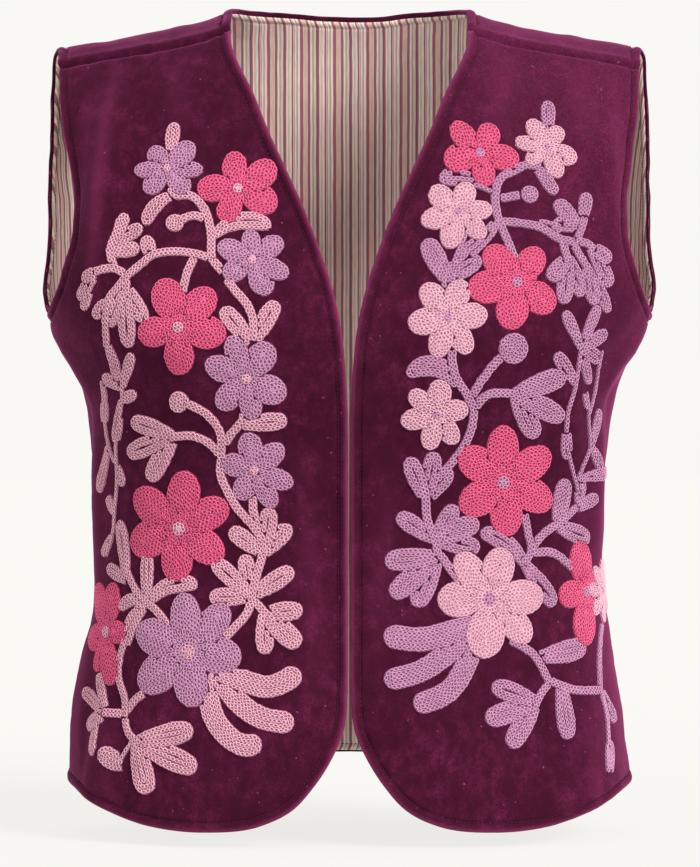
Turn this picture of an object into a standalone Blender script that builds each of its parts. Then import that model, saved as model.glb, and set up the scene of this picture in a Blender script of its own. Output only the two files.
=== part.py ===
"""Embroidered waistcoat: lined velvet with wool chain-stitch flowers, in its worn, hollow form.

Every piece is cut flat and then laid round the worn form. On the flat pattern, in millimetres, "across"
runs from the centre line towards the side seam and "down" runs from the ridge of the shoulder, over the
front or over the back. In space +X is to the wearer's left, -Y to the front and +Z up, and the origin is
midway between the shoulders, at the height of their ridge.
"""

import math

import bmesh
import bpy
import numpy as np
from mathutils import Vector, geometry
from mathutils.bvhtree import BVHTree

MM = 0.001

# ---- cloth -------------------------------------------------------------------------------------
VELVET_WALL = 2.0
LINING_WALL = 1.0
GAP = 0.3  # between pieces at a seam, and between the velvet and its lining
LINING_INSET = 1.6  # the velvet turns over every free edge, and the lining stops short of it
FRONT_SPACING = 20.0  # distance between mesh points on the fronts, and on the back
BACK_SPACING = 25.0
FOLD_ROOM = 0.45  # least distance between them, as a share of it: on a fold, and between folds
ROW_ROOM = 0.72
RIDGE_ZONE = 70.0  # rows lie closer this near the ridge, where the cloth turns over the shoulder
RIDGE_CLOSER = 0.62
NECK_CLOSER = 0.75  # and so do the points round the back of the neck

# ---- the worn form -----------------------------------------------------------------------------
# Going down the body: how far the middle of the front and of the back stand out from the ridge.
DEPTHS = (  # drop, front depth, back depth
    (0, 0, 0), (1.5, 12, 12), (7, 28, 28), (17, 44, 43), (34, 60, 59), (60, 76, 75), (95, 91, 91),
    (135, 105, 100), (175, 117, 102), (210, 123, 98), (245, 119, 92), (290, 108, 84), (340, 101, 80),
    (400, 106, 88), (460, 112, 100), (545, 119, 114),
)
WIDTHS = (  # drop, half width, squareness of the section (2 is an ellipse)
    (-20, 210, 3.0), (60, 210, 2.9), (115, 209, 2.6), (150, 209.5, 2.54), (176, 209, 2.5),
    (192, 205, 2.55), (211, 196, 2.6), (224, 188.5, 2.58), (238, 183, 2.54), (265, 177, 2.5),
    (300, 173, 2.42), (340, 170.5, 2.35), (380, 172.5, 2.32), (420, 178, 2.3), (460, 184, 2.29),
    (507, 191, 2.27), (545, 195, 2.25),
)
RIDGE = (  # half width, height of the shoulder ridge, which slopes down from the neck
    (0, 40), (40, 33), (70, 19), (80, 14), (90, 9), (102, 5), (116, 1.5), (136, -2), (157, -5.3),
    (180, -9), (199, -13), (215, -17),
)
RIDGE_FADE = 140.0  # the slope of the ridge dies out over this drop

# ---- the flat pattern --------------------------------------------------------------------------
SEAM_DOWN = 48.0  # the shoulder seam lies this far in front of the ridge
SEAM_NECK_END = 80.0
SEAM_ARM_END = 198.0
SIDE_TOP_DROP = 192.0
SIDE_HEM_DROP = 507.0
CENTRE_EDGE = 0.9  # the fronts just meet, edge to edge
NECK_EDGE = (  # across, down
    (SEAM_NECK_END, SEAM_DOWN), (79, 62), (74, 80), (64, 103), (53, 129), (41, 152), (29, 176),
    (19, 203), (10.5, 231), (5, 257), (2.3, 284), (CENTRE_EDGE, 312),
)
CENTRE_END_DOWN = 494.0
FRONT_HEM = (  # across, down: the rounded front corner, then the hem round to the side seam
    (CENTRE_EDGE, CENTRE_END_DOWN), (3.4, 520), (12, 540), (23, 557), (38, 573), (59, 583),
    (97, 587.5), (131, 585.5), (170, 577), (210, 565), (250, 559.7),
)
FRONT_ARMHOLE = (  # across, down: from the side seam up to the shoulder seam
    (270.5, 241.6), (233, 240), (213, 228), (203, 212), (194.5, 194), (192, 172), (195, 134),
    (198, 99), (198.6, 70), (SEAM_ARM_END, SEAM_DOWN),
)
BACK_NECK = (  # across, down: from the shoulder seam over the ridge to the centre back
    (SEAM_NECK_END, -SEAM_DOWN), (80, -20), (79, 0), (75, 10), (68, 21), (55, 35), (28, 50), (0, 55.5),
)
BACK_HEM = ((0, 549), (120, 550.5), (243, 556.9))  # across, down
BACK_ARMHOLE = (  # across, down: from the side seam over the ridge to the shoulder seam
    (259.5, 237.8), (250, 224), (240, 204), (235, 187), (232, 158), (226, 124), (217, 88), (210, 55),
    (204, 25), (199.5, 2), (198, -20), (SEAM_ARM_END, -SEAM_DOWN),
)

# ---- folds -------------------------------------------------------------------------------------
# A soft ridge, or with a negative height a trough, along the line between two places on the pattern.
FOLDS = {  # panel: across and down of each end, half width, height
    "front_right": (
        (152, 54, 178, 226, 14, 6.0), (190, 84, 188, 206, 10, -2.4), (248, 246, 192, 306, 12, 5.0),
        (226, 268, 206, 344, 11, -3.0), (194, 306, 204, 440, 13, 3.4), (214, 452, 222, 560, 12, 4.8),
        (174, 492, 178, 576, 11, 3.0), (44, 330, 26, 470, 20, 2.0), (112, 56, 106, 124, 16, 2.0),
    ),
    "front_left": (
        (160, 54, 184, 214, 14, 4.4), (242, 246, 188, 300, 12, 4.6), (218, 266, 200, 330, 10, -2.8),
        (146, 258, 158, 350, 12, 3.0), (188, 300, 194, 430, 13, 4.6), (206, 450, 214, 560, 12, 5.0),
        (172, 490, 178, 574, 11, 3.4), (104, 56, 98, 120, 16, 2.0), (66, 500, 76, 574, 16, 2.2),
    ),
    "back": (
        (-208, 246, -150, 310, 14, 5.0), (208, 246, 150, 310, 14, 4.6), (-152, 300, -118, 470, 16, 4.0),
        (150, 310, 112, 480, 16, 4.2), (-192, 420, -204, 548, 14, 5.0), (196, 430, 206, 548, 14, 4.6),
        (-60, 390, -72, 542, 17, 4.4), (66, 400, 80, 542, 17, 4.0), (-60, 306, 60, 318, 14, -3.4),
        (-176, 50, -128, 190, 16, 3.4), (176, 50, 130, 190, 16, 3.2), (4, 410, -4, 542, 17, 2.8),
    ),
}
FOLD_MARGIN = 14.0  # folds die out this close to the side seam
FOLD_FOOT = 1.35  # a fold's foot lies this many half widths from its top

# ---- the embroidery ----------------------------------------------------------------------------
# Chain stitch in wool, worked on each front: places are (across, down) on its pattern, and directions
# are degrees, with 0 towards the side seam and 90 straight up.
ROW_WIDTH = 3.3  # one row of chain stitch
WOOL_CLEAR = 0.35  # the wool keeps this gap to the velvet it lies on
WOOL_RISE = 1.0  # a stem stands this proud of it
PETAL_RISE = 1.8
PETAL_FALL = 0.45  # how much of that a petal loses towards its tip
MOTIF_GAP = 1.1  # between a flower and the next motif
STEM_STEP = 19.0
SMALLEST_PIECE = 25.0  # square millimetres
OUTLINE_SLACK = 0.4  # how far a simpler outline may stray

RIGHT_FLOWERS = (  # across, down, yarn, then each petal's direction and length
    (120, 146, "lilac", (0, 23), (55, 20), (135, 24), (185, 24), (232, 22), (312, 22)),
    (73, 162, "raspberry", (4, 27), (80, 24), (153, 28), (206, 28), (293, 24)),
    (63, 210, "lilac", (25, 25), (85, 21), (143, 24), (205, 26), (248, 26), (328, 22)),
    (112, 255, "raspberry", (70, 34), (133, 34), (190, 32), (270, 31), (350, 29)),
    (67, 289, "lilac", (23, 29), (70, 30), (125, 28), (205, 28), (260, 27), (315, 27)),
    (62, 350, "lilac", (15, 23), (80, 26), (138, 25), (200, 27), (242, 28), (300, 22)),
    (114, 389, "raspberry", (35, 42), (98, 39), (154, 38), (212, 36), (275, 35), (343, 41)),
    (107, 470, "lilac", (20, 42), (84, 39), (131, 41), (185, 36), (265, 36), (327, 44)),
    (178, 459, "raspberry", (60, 36), (104, 34), (178, 22), (255, 36), (293, 29), (345, 28)),
)
RIGHT_STEMS = (  # rows of stitch, then the places it runs through
    (2, (120, 152), (114, 165), (105, 165), (95, 175), (91, 188), (90, 209)),
    (2, (90, 209), (83, 218), (75, 230), (66, 241), (62, 252), (63, 264)),
    (2, (93, 182), (102, 179), (113, 183)),
    (1, (70, 168), (73, 184)),
    (2, (90, 209), (100, 206), (115, 204), (129, 206), (140, 214), (148, 220)),
    (2, (148, 220), (157, 215), (172, 217)),
    (2, (157, 216), (160, 202), (155, 190)),
    (2, (148, 220), (155, 228), (163, 237), (165, 248), (167, 267)),
    (2, (148, 218), (149, 232)),
    (2, (99, 204), (106, 218), (110, 234)),
    (1, (157, 290), (158, 304), (166, 334), (167, 364), (170, 379), (174, 396), (182, 408)),
    (1, (178, 290), (177, 316), (174, 334), (166, 350)),
    (2, (111, 303), (93, 313), (85, 324), (84, 342)),
    (2, (84, 341), (92, 332), (104, 327), (120, 328)),
    (2, (83, 334), (76, 324), (70, 317), (70, 300)),
    (2, (84, 340), (85, 352), (80, 364), (73, 376), (63, 387), (57, 396), (56, 405)),
    (2, (62, 358), (63, 376), (59, 392)),
    (2, (56, 403), (59, 414), (62, 424), (64, 437)),
    (2, (64, 435), (67, 444), (74, 452), (84, 462)),
    (2, (64, 434), (54, 445)),
    (2, (139, 438), (132, 443), (122, 453)),
    (2, (139, 438), (149, 429), (156, 418)),
    (2, (156, 461), (161, 476), (162, 488), (156, 503), (156, 514)),
    (2, (156, 512), (148, 503), (138, 497), (124, 490)),
    (2, (156, 512), (174, 512)),
    (2, (156, 510), (153, 523), (142, 532)),
    (1, (149, 530), (158, 542)),
)
RIGHT_SPRAYS = (  # across and down of the base, then for each leaf its direction, length, width, bend
    (118, 134, (85, 22, 10, 0)),
    (115, 164, (315, 29, 8, 4)),
    (89, 193, (170, 38, 10, -7)),
    (131, 208, (75, 15, 9, 0)),
    (157, 197, (112, 21, 6, 0), (150, 22, 8, 0)),
    (158, 204, (170, 18, 9, 0)),
    (169, 216, (335, 15, 7, 0), (315, 27, 7, 0)),
    (175, 222, (295, 22, 6, 0)),
    (164, 237, (315, 15, 8, 0)),
    (149, 227, (298, 30, 9, 0), (270, 40, 10, 0), (240, 27, 9, 0)),
    (63, 266, (50, 30, 10, 0), (120, 31, 10, 0)),
    (167, 263, (255, 27, 7, 0)),
    (157, 294, (20, 20, 7, 0), (115, 24, 6, 0)),
    (158, 302, (165, 13, 7, 0), (285, 31, 7, 0)),
    (177, 292, (270, 27, 7, 0)),
    (175, 334, (295, 34, 7, 0)),
    (166, 347, (245, 15, 7, 0)),
    (170, 380, (55, 14, 7, 0)),
    (174, 395, (315, 18, 6, 0)),
    (156, 424, (78, 40, 9, 0), (20, 24, 8, 0)),
    (117, 327, (18, 34, 10, 0), (342, 39, 11, 0), (303, 35, 12, 0)),
    (70, 319, (175, 29, 10, 0)),
    (56, 405, (35, 27, 10, 0), (98, 30, 10, 0), (133, 25, 10, 0)),
    (64, 433, (42, 34, 10, 0), (80, 27, 9, 0), (147, 32, 10, 0), (358, 28, 10, 0)),
    (56, 444, (175, 25, 11, 0), (222, 31, 12, 0), (268, 26, 10, 0)),
    (139, 439, (90, 34, 8, 0), (160, 40, 9, -6), (350, 24, 7, 5), (302, 33, 9, 4)),
    (171, 512, (62, 28, 7, 0), (22, 33, 8, 0), (335, 25, 9, 0)),
    (180, 517, (280, 24, 7, 0)),
    (145, 530, (167, 42, 12, 0), (200, 46, 13, 0), (255, 34, 14, 0)),
    (155, 546, (20, 21, 12, 0)),
)
RIGHT_BUDS = ((115, 184, 6), (113, 304, 7))  # across, down, radius
RIGHT_TAILS = (  # width, then the places it runs through
    (14, (88, 484), (70, 488), (53, 492), (40, 487), (32, 480)),
    (14, (88, 486), (74, 501), (60, 511), (35, 516)),
    (14, (91, 484), (91, 507), (82, 522), (70, 530), (56, 528)),
)

LEFT_FLOWERS = (
    (86, 138, "raspberry", (65, 22), (140, 24), (200, 25), (280, 22), (355, 26)),
    (131, 129, "pale_pink", (58, 18), (122, 22), (175, 22), (225, 19), (290, 24), (335, 22)),
    (71, 177, "pale_pink", (5, 23), (68, 21), (140, 23), (197, 25), (255, 26), (315, 25)),
    (110, 225, "raspberry", (55, 28), (130, 31), (190, 33), (260, 32), (325, 31)),
    (64, 249, "pale_pink", (5, 26), (68, 27), (125, 27), (190, 26), (253, 27), (302, 27)),
    (57, 312, "pale_pink", (10, 21), (83, 23), (140, 23), (195, 24), (257, 25), (303, 24)),
    (102, 358, "raspberry", (30, 40), (90, 38), (145, 36), (213, 34), (277, 36), (338, 40)),
    (93, 435, "pale_pink", (2, 39), (73, 35), (126, 37), (180, 35), (263, 39), (316, 40)),
    (198, 432, "pale_pink", (30, 22), (88, 22), (135, 23), (176, 24), (222, 23), (272, 22), (330, 22)),
    (172, 432, "raspberry", (50, 27), (105, 35), (184, 27), (264, 36), (318, 27)),
)
LEFT_STEMS = (
    (2, (96, 164), (99, 154), (107, 149), (119, 143), (126, 145)),
    (2, (96, 162), (96, 172), (98, 183)),
    (2, (97, 168), (106, 166), (118, 164)),
    (2, (98, 183), (110, 184), (126, 187), (140, 195), (150, 197)),
    (2, (157, 180), (154, 191), (149, 199)),
    (2, (141, 195), (146, 211)),
    (2, (149, 197), (156, 209), (164, 220)),
    (2, (149, 197), (158, 197), (165, 202)),
    (1, (77, 190), (68, 212)),
    (2, (98, 183), (103, 195), (110, 212)),
    (2, (76, 205), (63, 220), (63, 232)),
    (2, (67, 265), (67, 279), (70, 289), (76, 298), (82, 309)),
    (2, (79, 302), (87, 289), (95, 279), (104, 271)),
    (2, (81, 309), (91, 299), (99, 298), (112, 299)),
    (2, (82, 307), (80, 322), (75, 334), (66, 346), (57, 356)),
    (2, (50, 368), (51, 382), (56, 396), (58, 406)),
    (2, (58, 403), (64, 412), (74, 425)),
    (2, (118, 380), (121, 394), (123, 404), (117, 412)),
    (2, (123, 402), (133, 392), (146, 385), (162, 375)),
    (2, (122, 405), (139, 405), (159, 417)),
    (1, (157, 265), (156, 277), (153, 296), (149, 308), (148, 324)),
    (1, (150, 336), (158, 354), (163, 366)),
    (1, (178, 270), (176, 299), (170, 312)),
    (1, (167, 297), (171, 319), (174, 334), (167, 347), (160, 360)),
    (1, (160, 357), (190, 356)),
    (2, (108, 462), (124, 472), (131, 482), (136, 491)),
    (2, (135, 489), (145, 493), (156, 496), (183, 498)),
    (2, (137, 490), (130, 497), (125, 506)),
    (1, (195, 450), (187, 474), (182, 500)),
    (1, (196, 516), (193, 545)),
)
LEFT_SPRAYS = (
    (132, 117, (90, 22, 10, 0)),
    (123, 143, (305, 24, 7, 0)),
    (97, 163, (170, 38, 10, -6)),
    (98, 182, (225, 36, 8, 2)),
    (141, 188, (172, 19, 7, 0)),
    (153, 187, (130, 24, 10, 0), (170, 18, 8, 0)),
    (156, 182, (82, 20, 8, 0)),
    (146, 207, (230, 21, 11, 0), (263, 32, 10, 0), (290, 28, 9, 0)),
    (159, 211, (285, 29, 10, 0)),
    (163, 217, (300, 31, 7, 0)),
    (162, 200, (330, 18, 9, 0), (303, 31, 10, 0)),
    (63, 224, (115, 30, 12, 0), (35, 27, 11, 0)),
    (70, 292, (168, 33, 12, -9)),
    (109, 299, (20, 38, 12, 0), (337, 39, 12, 0), (300, 33, 13, 0)),
    (50, 370, (112, 30, 10, 0), (80, 32, 10, 0), (52, 26, 10, 0)),
    (56, 396, (146, 29, 10, 0), (58, 26, 10, 0), (22, 31, 12, 0), (350, 30, 11, 0)),
    (58, 407, (185, 34, 12, 0), (220, 39, 12, 0), (246, 35, 12, 0)),
    (118, 412, (145, 37, 10, -4), (310, 36, 11, 0)),
    (143, 388, (76, 32, 12, 0), (345, 34, 11, 0)),
    (163, 376, (80, 19, 9, 0), (20, 22, 8, 0)),
    (162, 357, (10, 36, 6, 0)),
    (157, 268, (120, 27, 6, 0), (66, 30, 6, 0), (25, 24, 8, 0), (340, 22, 8, 0), (297, 26, 7, 0)),
    (154, 291, (130, 25, 8, 0)),
    (148, 321, (275, 21, 7, 0)),
    (171, 313, (110, 17, 6, 0)),
    (175, 334, (68, 27, 7, 0), (308, 18, 8, 0)),
    (128, 474, (8, 40, 12, 0)),
    (145, 491, (278, 37, 12, 0)),
    (126, 503, (160, 33, 11, 0), (197, 37, 12, 0), (236, 34, 12, 0)),
    (181, 495, (310, 32, 8, 0)),
    (193, 544, (130, 18, 9, 0)),
)
LEFT_BUDS = ((119, 164, 6), (108, 269, 10))
LEFT_TAILS = (
    (15, (84, 449), (62, 458), (46, 461), (22, 458)),
    (14, (84, 451), (62, 472), (46, 482), (22, 488)),
    (14, (84, 452), (77, 477), (66, 494), (41, 505)),
)

YARN_COLOURS = {
    "pink": (0.80, 0.42, 0.52),
    "pale_pink": (0.84, 0.50, 0.58),
    "lilac": (0.45, 0.23, 0.42),
    "raspberry": (0.60, 0.08, 0.17),
}
VELVET_COLOUR = (0.095, 0.011, 0.045)
LINING_COLOUR = (0.42, 0.36, 0.30)


# ---- curves ------------------------------------------------------------------------------------
def hermite(keys, values, at):
    """Reads a smooth curve through a table's rows."""
    keys = np.asarray(keys, float)
    values = np.asarray(values, float)
    at = np.clip(np.asarray(at, float), keys[0], keys[-1])
    slopes = np.gradient(values, keys)
    i = np.clip(np.searchsorted(keys, at, side="right") - 1, 0, len(keys) - 2)
    step = keys[i + 1] - keys[i]
    t = (at - keys[i]) / step
    return (
        (2 * t**3 - 3 * t**2 + 1) * values[i]
        + (t**3 - 2 * t**2 + t) * step * slopes[i]
        + (-2 * t**3 + 3 * t**2) * values[i + 1]
        + (t**3 - t**2) * step * slopes[i + 1]
    )


def column(table, index):
    return np.array([row[index] for row in table], float)


CURVE_STEPS = 40  # for each point that a curve runs through


def along(points, spacing, fewest=1):
    """A smooth run through the points, as places about a spacing apart, both ends included."""
    points = np.array(points, float)
    chord = np.r_[0, np.cumsum(np.hypot(*np.diff(points, axis=0).T))]
    fine = np.linspace(0, chord[-1], CURVE_STEPS * len(points))
    if len(points) > 2:
        x, y = hermite(chord, points[:, 0], fine), hermite(chord, points[:, 1], fine)
    else:
        x, y = np.interp(fine, chord, points[:, 0]), np.interp(fine, chord, points[:, 1])
    run = np.r_[0, np.cumsum(np.hypot(np.diff(x), np.diff(y)))]
    at = np.linspace(0, run[-1], max(fewest, round(run[-1] / spacing)) + 1)
    return np.c_[np.interp(at, run, x), np.interp(at, run, y)]


def smooth_step(t):
    t = np.clip(t, 0, 1)
    return t * t * (3 - 2 * t)


# ---- laying cloth round the form ---------------------------------------------------------------
FRONT, BACK = 0, 1
FACING = (-1.0, 1.0)  # the sign of Y
PROFILE_STEPS = 3000
SECTION_STEPS = 160


def profile(depth_column):
    """The line down the middle of one half: distance run, drop and depth."""
    drops, depths = column(DEPTHS, 0), column(DEPTHS, depth_column)
    chord = np.r_[0, np.cumsum(np.hypot(np.diff(drops), np.diff(depths)))]
    fine = np.linspace(0, chord[-1], PROFILE_STEPS)
    drop, depth = hermite(chord, drops, fine), hermite(chord, depths, fine)
    return np.r_[0, np.cumsum(np.hypot(np.diff(drop), np.diff(depth)))], drop, depth


PROFILES = (profile(1), profile(2))
# A section's angles, from the centre line to the side.
QUARTER = np.linspace(math.pi / 2, 0, SECTION_STEPS + 1)


def sections(down, half):
    """For places down one half: the drop, and each section as x, y and distance round it."""
    run, drops, depths = PROFILES[half]
    drop, depth = np.interp(down, run, drops), np.interp(down, run, depths)
    width = hermite(column(WIDTHS, 0), column(WIDTHS, 1), drop)[:, None]
    power = 2 / hermite(column(WIDTHS, 0), column(WIDTHS, 2), drop)[:, None]
    x = width * np.cos(QUARTER).clip(0) ** power
    y = depth[:, None] * np.sin(QUARTER) ** power
    steps = np.hypot(np.diff(x, axis=1), np.diff(y, axis=1))
    return drop, x, y, np.c_[np.zeros(len(x)), np.cumsum(steps, axis=1)]


def side_at(down, half):
    """How far across the side seam lies."""
    return sections(np.atleast_1d(np.asarray(down, float)), half)[3][:, -1]


def down_at(drop, half):
    run, drops, _ = PROFILES[half]
    return float(np.interp(drop, drops, run))


def on_form(across, down, half):
    """Points of the plain form. A negative across is the wearer's right, and the back runs on over
    the ridge to the front where down is negative."""
    across, down = np.asarray(across, float), np.asarray(down, float)
    out = np.empty((len(across), 3))
    over = down < 0
    for part, part_half in ((~over, half), (over, 1 - half)):
        if not part.any():
            continue
        drop, x, y, run = sections(np.abs(down[part]), part_half)
        reach = np.abs(across[part])
        px = np.array([np.interp(r, row, xs) for r, row, xs in zip(reach, run, x)])
        py = np.array([np.interp(r, row, ys) for r, row, ys in zip(reach, run, y)])
        lift = hermite(column(RIDGE, 0), column(RIDGE, 1), px) * smooth_step(1 - drop / RIDGE_FADE)
        out[part] = np.c_[np.sign(across[part]) * px, FACING[part_half] * py, lift - drop]
    return out


def normals_of(place, across, down, half):
    """Outward unit normals, from points a millimetre to each side."""
    side = side_at(np.abs(down), half)
    low, high = np.maximum(across - 1, -side), np.minimum(across + 1, side)
    round_body = place(high, down) - place(low, down)
    down_body = place(across, down + 1) - place(across, down - 1)
    normal = np.cross(down_body, round_body) * -FACING[half]
    return normal / np.linalg.norm(normal, axis=1)[:, None]


def fold_height(folds, across, down, half):
    height = np.zeros(len(across))
    for x0, y0, x1, y1, width, rise in folds:
        length = math.hypot(x1 - x0, y1 - y0)
        tx, ty = (x1 - x0) / length, (y1 - y0) / length
        t = ((across - x0) * tx + (down - y0) * ty) / length
        off = (across - x0) * ty - (down - y0) * tx
        taper = np.where((t > 0) & (t < 1), np.sin(math.pi * t.clip(0, 1)), 0)
        height += rise * taper * np.exp(-((off / width) ** 2))
    return height * smooth_step((side_at(np.abs(down), half) - np.abs(across)) / FOLD_MARGIN)


def worn(flat, half, side, folds):
    """Flat places, worn: their points on the folded form and the normals there."""
    across, down = flat[:, 0] * side, flat[:, 1]

    def folded(a, d):
        plain = on_form(a, d, half)
        lift = fold_height(folds, a * side, d, half)
        return plain + normals_of(lambda p, q: on_form(p, q, half), a, d, half) * lift[:, None]

    return folded(across, down), normals_of(folded, across, down, half)


# ---- flat pieces -------------------------------------------------------------------------------
def cut_out(kept, cut_away=(), spots=()):
    """Triangulates what lies inside any kept outline and outside every one cut away."""
    points, faces = [], []
    for outline in (*kept, *cut_away):
        faces.append(list(range(len(points), len(points) + len(outline))))
        points += [Vector(p) for p in (outline if turns_left(outline) else outline[::-1])]
    points += [Vector(p) for p in spots]
    made, _, triangles, _, _, origins = geometry.delaunay_2d_cdt(points, [], faces, 1, 0.01)
    held = [
        triangle
        for triangle, origin in zip(triangles, origins)
        if origin and max(origin) < len(kept)
    ]
    used = sorted({i for triangle in held for i in triangle})
    renumbered = {old: new for new, old in enumerate(used)}
    flat = np.array([made[i] for i in used], float)
    return flat, [tuple(renumbered[i] for i in triangle) for triangle in held]


def turns_left(outline):
    return sum(a[0] * b[1] - b[0] * a[1] for a, b in zip(outline, [*outline[1:], outline[0]])) > 0


def rim_of(triangles):
    """The directed edges that only one triangle has."""
    edges = {(t[i], t[(i + 1) % 3]) for t in triangles for i in range(3)}
    return [edge for edge in edges if edge[::-1] not in edges]


def fold_rows(folds, spacing):
    """Places along the top and the two feet of each fold."""
    spots = []
    for x0, y0, x1, y1, width, _ in folds:
        crest = along(((x0, y0), (x1, y1)), spacing)
        off = np.array((y0 - y1, x1 - x0)) / math.hypot(x1 - x0, y1 - y0) * width * FOLD_FOOT
        spots += [*crest, *(crest[:-1] + crest[1:]) / 2 + off, *(crest[:-1] + crest[1:]) / 2 - off]
    return spots


def even_rows(low, high, spacing):
    """Staggered rows of places over a rectangle, closer together near the ridge."""
    spots, down, odd = [], low[1] + spacing / 2, False
    while down < high[1]:
        close = RIDGE_CLOSER if abs(down) < RIDGE_ZONE else 1.0
        row = np.arange(low[0] + (spacing / 2 if odd else spacing), high[0], spacing)
        spots += [(across, down) for across in row]
        down += spacing * math.sqrt(0.75) * close
        odd = not odd
    return spots


def lattice(outline, spacing, folds):
    """The mesh points inside an outline: along its folds first, and evenly between them."""
    outline = np.array(outline)
    ends = np.roll(outline, -1, axis=0)
    found = np.empty((0, 2))
    rows = even_rows(outline.min(axis=0), outline.max(axis=0), spacing)
    for spots, room in ((fold_rows(folds, spacing), FOLD_ROOM), (rows, ROW_ROOM)):
        for place in spots:
            apart = not len(found) or np.hypot(*(found - place).T).min() > room * spacing
            if apart and inside(place, outline, ends) and clear_of(place, outline, ends, spacing / 2):
                found = np.vstack([found, place])
    return found


def loops_of(triangles):
    after = dict(rim_of(triangles))
    loops = []
    while after:
        start, here = after.popitem()
        loops.append([start])
        while here != start:
            loops[-1].append(here)
            here = after.pop(here)
    return loops


def trimmed(loop, slack):
    """The same closed outline without the points that hardly change it."""
    loop = [np.array(p) for p in loop]
    while len(loop) > 4:
        strays = []
        for i, here in enumerate(loop):
            before, after = loop[i - 1], loop[(i + 1) % len(loop)]
            run = after - before
            t = np.clip((here - before) @ run / max(run @ run, 1e-9), 0, 1)
            strays.append(np.linalg.norm(before + run * t - here))
        least = int(np.argmin(strays))
        if strays[least] > slack:
            break
        loop.pop(least)
    return [tuple(p) for p in loop]


def inside(place, starts, ends):
    x, y = place
    crosses = (starts[:, 1] > y) != (ends[:, 1] > y)
    with np.errstate(divide="ignore", invalid="ignore"):
        share = (y - starts[:, 1]) / (ends[:, 1] - starts[:, 1])
        at = starts[:, 0] + share * (ends[:, 0] - starts[:, 0])
    return bool((crosses & (x < at)).sum() % 2)


def clear_of(place, starts, ends, distance):
    run = ends - starts
    t = (((place - starts) * run).sum(axis=1) / (run**2).sum(axis=1).clip(1e-9)).clip(0, 1)
    return bool((np.linalg.norm(starts + run * t[:, None] - place, axis=1) > distance).all())


def joined(*runs):
    """One closed outline from runs that each start where the last one ends."""
    return [tuple(p) for run in runs for p in run[:-1]]


def side_seam(half, top_drop, hem_drop, spacing):
    count = round((hem_drop - top_drop) / spacing)
    down = np.linspace(down_at(hem_drop, half), down_at(top_drop, half), count)
    return np.c_[side_at(down, half) - GAP / 2, down]


def front_outline():
    seam = SEAM_DOWN + GAP / 2
    side = side_seam(FRONT, SIDE_TOP_DROP, SIDE_HEM_DROP, FRONT_SPACING)
    neck = along(NECK_EDGE, FRONT_SPACING)
    hem = along(FRONT_HEM, FRONT_SPACING)
    armhole = along(FRONT_ARMHOLE, FRONT_SPACING)
    neck[0, 1] = armhole[-1, 1] = seam
    hem[-1], armhole[0] = side[0], side[-1]
    shoulder = along(((SEAM_ARM_END, seam), (SEAM_NECK_END, seam)), FRONT_SPACING)
    centre = along(((CENTRE_EDGE, NECK_EDGE[-1][1]), (CENTRE_EDGE, CENTRE_END_DOWN)), FRONT_SPACING)
    return joined(shoulder, neck, centre, hem, side, armhole)


def back_outline():
    seam = -SEAM_DOWN + GAP / 2
    side = side_seam(BACK, SIDE_TOP_DROP, SIDE_HEM_DROP, BACK_SPACING)
    neck = along(BACK_NECK, BACK_SPACING * NECK_CLOSER)
    hem = along(BACK_HEM, BACK_SPACING)
    armhole = along(BACK_ARMHOLE, BACK_SPACING)
    neck[0, 1] = armhole[-1, 1] = seam
    hem[-1], armhole[0] = side[0], side[-1]
    shoulder = along(((SEAM_NECK_END, seam), (SEAM_ARM_END, seam)), BACK_SPACING)
    half = np.array(joined(hem, side, armhole, shoulder[::-1], neck) + [tuple(neck[-1])])
    other = half[::-1] * (-1, 1)
    return [tuple(p) for p in half] + [tuple(p) for p in other[1:-1]]


# ---- solids ------------------------------------------------------------------------------------
class Sheet:
    """A panel's outer face: flat places, triangles, worn points and normals."""

    def __init__(self, name, flat, triangles, half, side):
        self.flat, self.half, self.side = flat, half, side
        self.points, self.normals = worn(flat, half, side, FOLDS[name])
        self.triangles = triangles
        self.tree = BVHTree.FromPolygons([(x, y, 0) for x, y in flat], triangles)

    def at(self, place):
        """The point and normal of the facet at a flat place."""
        hit, _, index, _ = self.tree.ray_cast(Vector((*place, 1)), Vector((0, 0, -1)))
        if hit is None:
            hit, _, index, _ = self.tree.find_nearest(Vector((*place, 0)))
        a, b, c = self.triangles[index]
        corners = self.flat[[a, b, c]]
        weights = np.linalg.solve(np.c_[corners, np.ones(3)].T, (hit.x, hit.y, 1))
        normal = weights @ self.normals[[a, b, c]]
        return weights @ self.points[[a, b, c]], normal / np.linalg.norm(normal)

    def lay(self, flat):
        found = [self.at(place) for place in flat]
        return np.array([p for p, _ in found]), np.array([n for _, n in found])


def material(name, colour, roughness, sheen=0.0):
    made = bpy.data.materials.get(name) or bpy.data.materials.new(name)
    made.use_nodes = True
    shader = made.node_tree.nodes["Principled BSDF"]
    shader.inputs["Base Color"].default_value = (*colour, 1)
    shader.inputs["Roughness"].default_value = roughness
    shader.inputs["Sheen Weight"].default_value = sheen
    made.diffuse_color = (*colour, 1)
    return made


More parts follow.
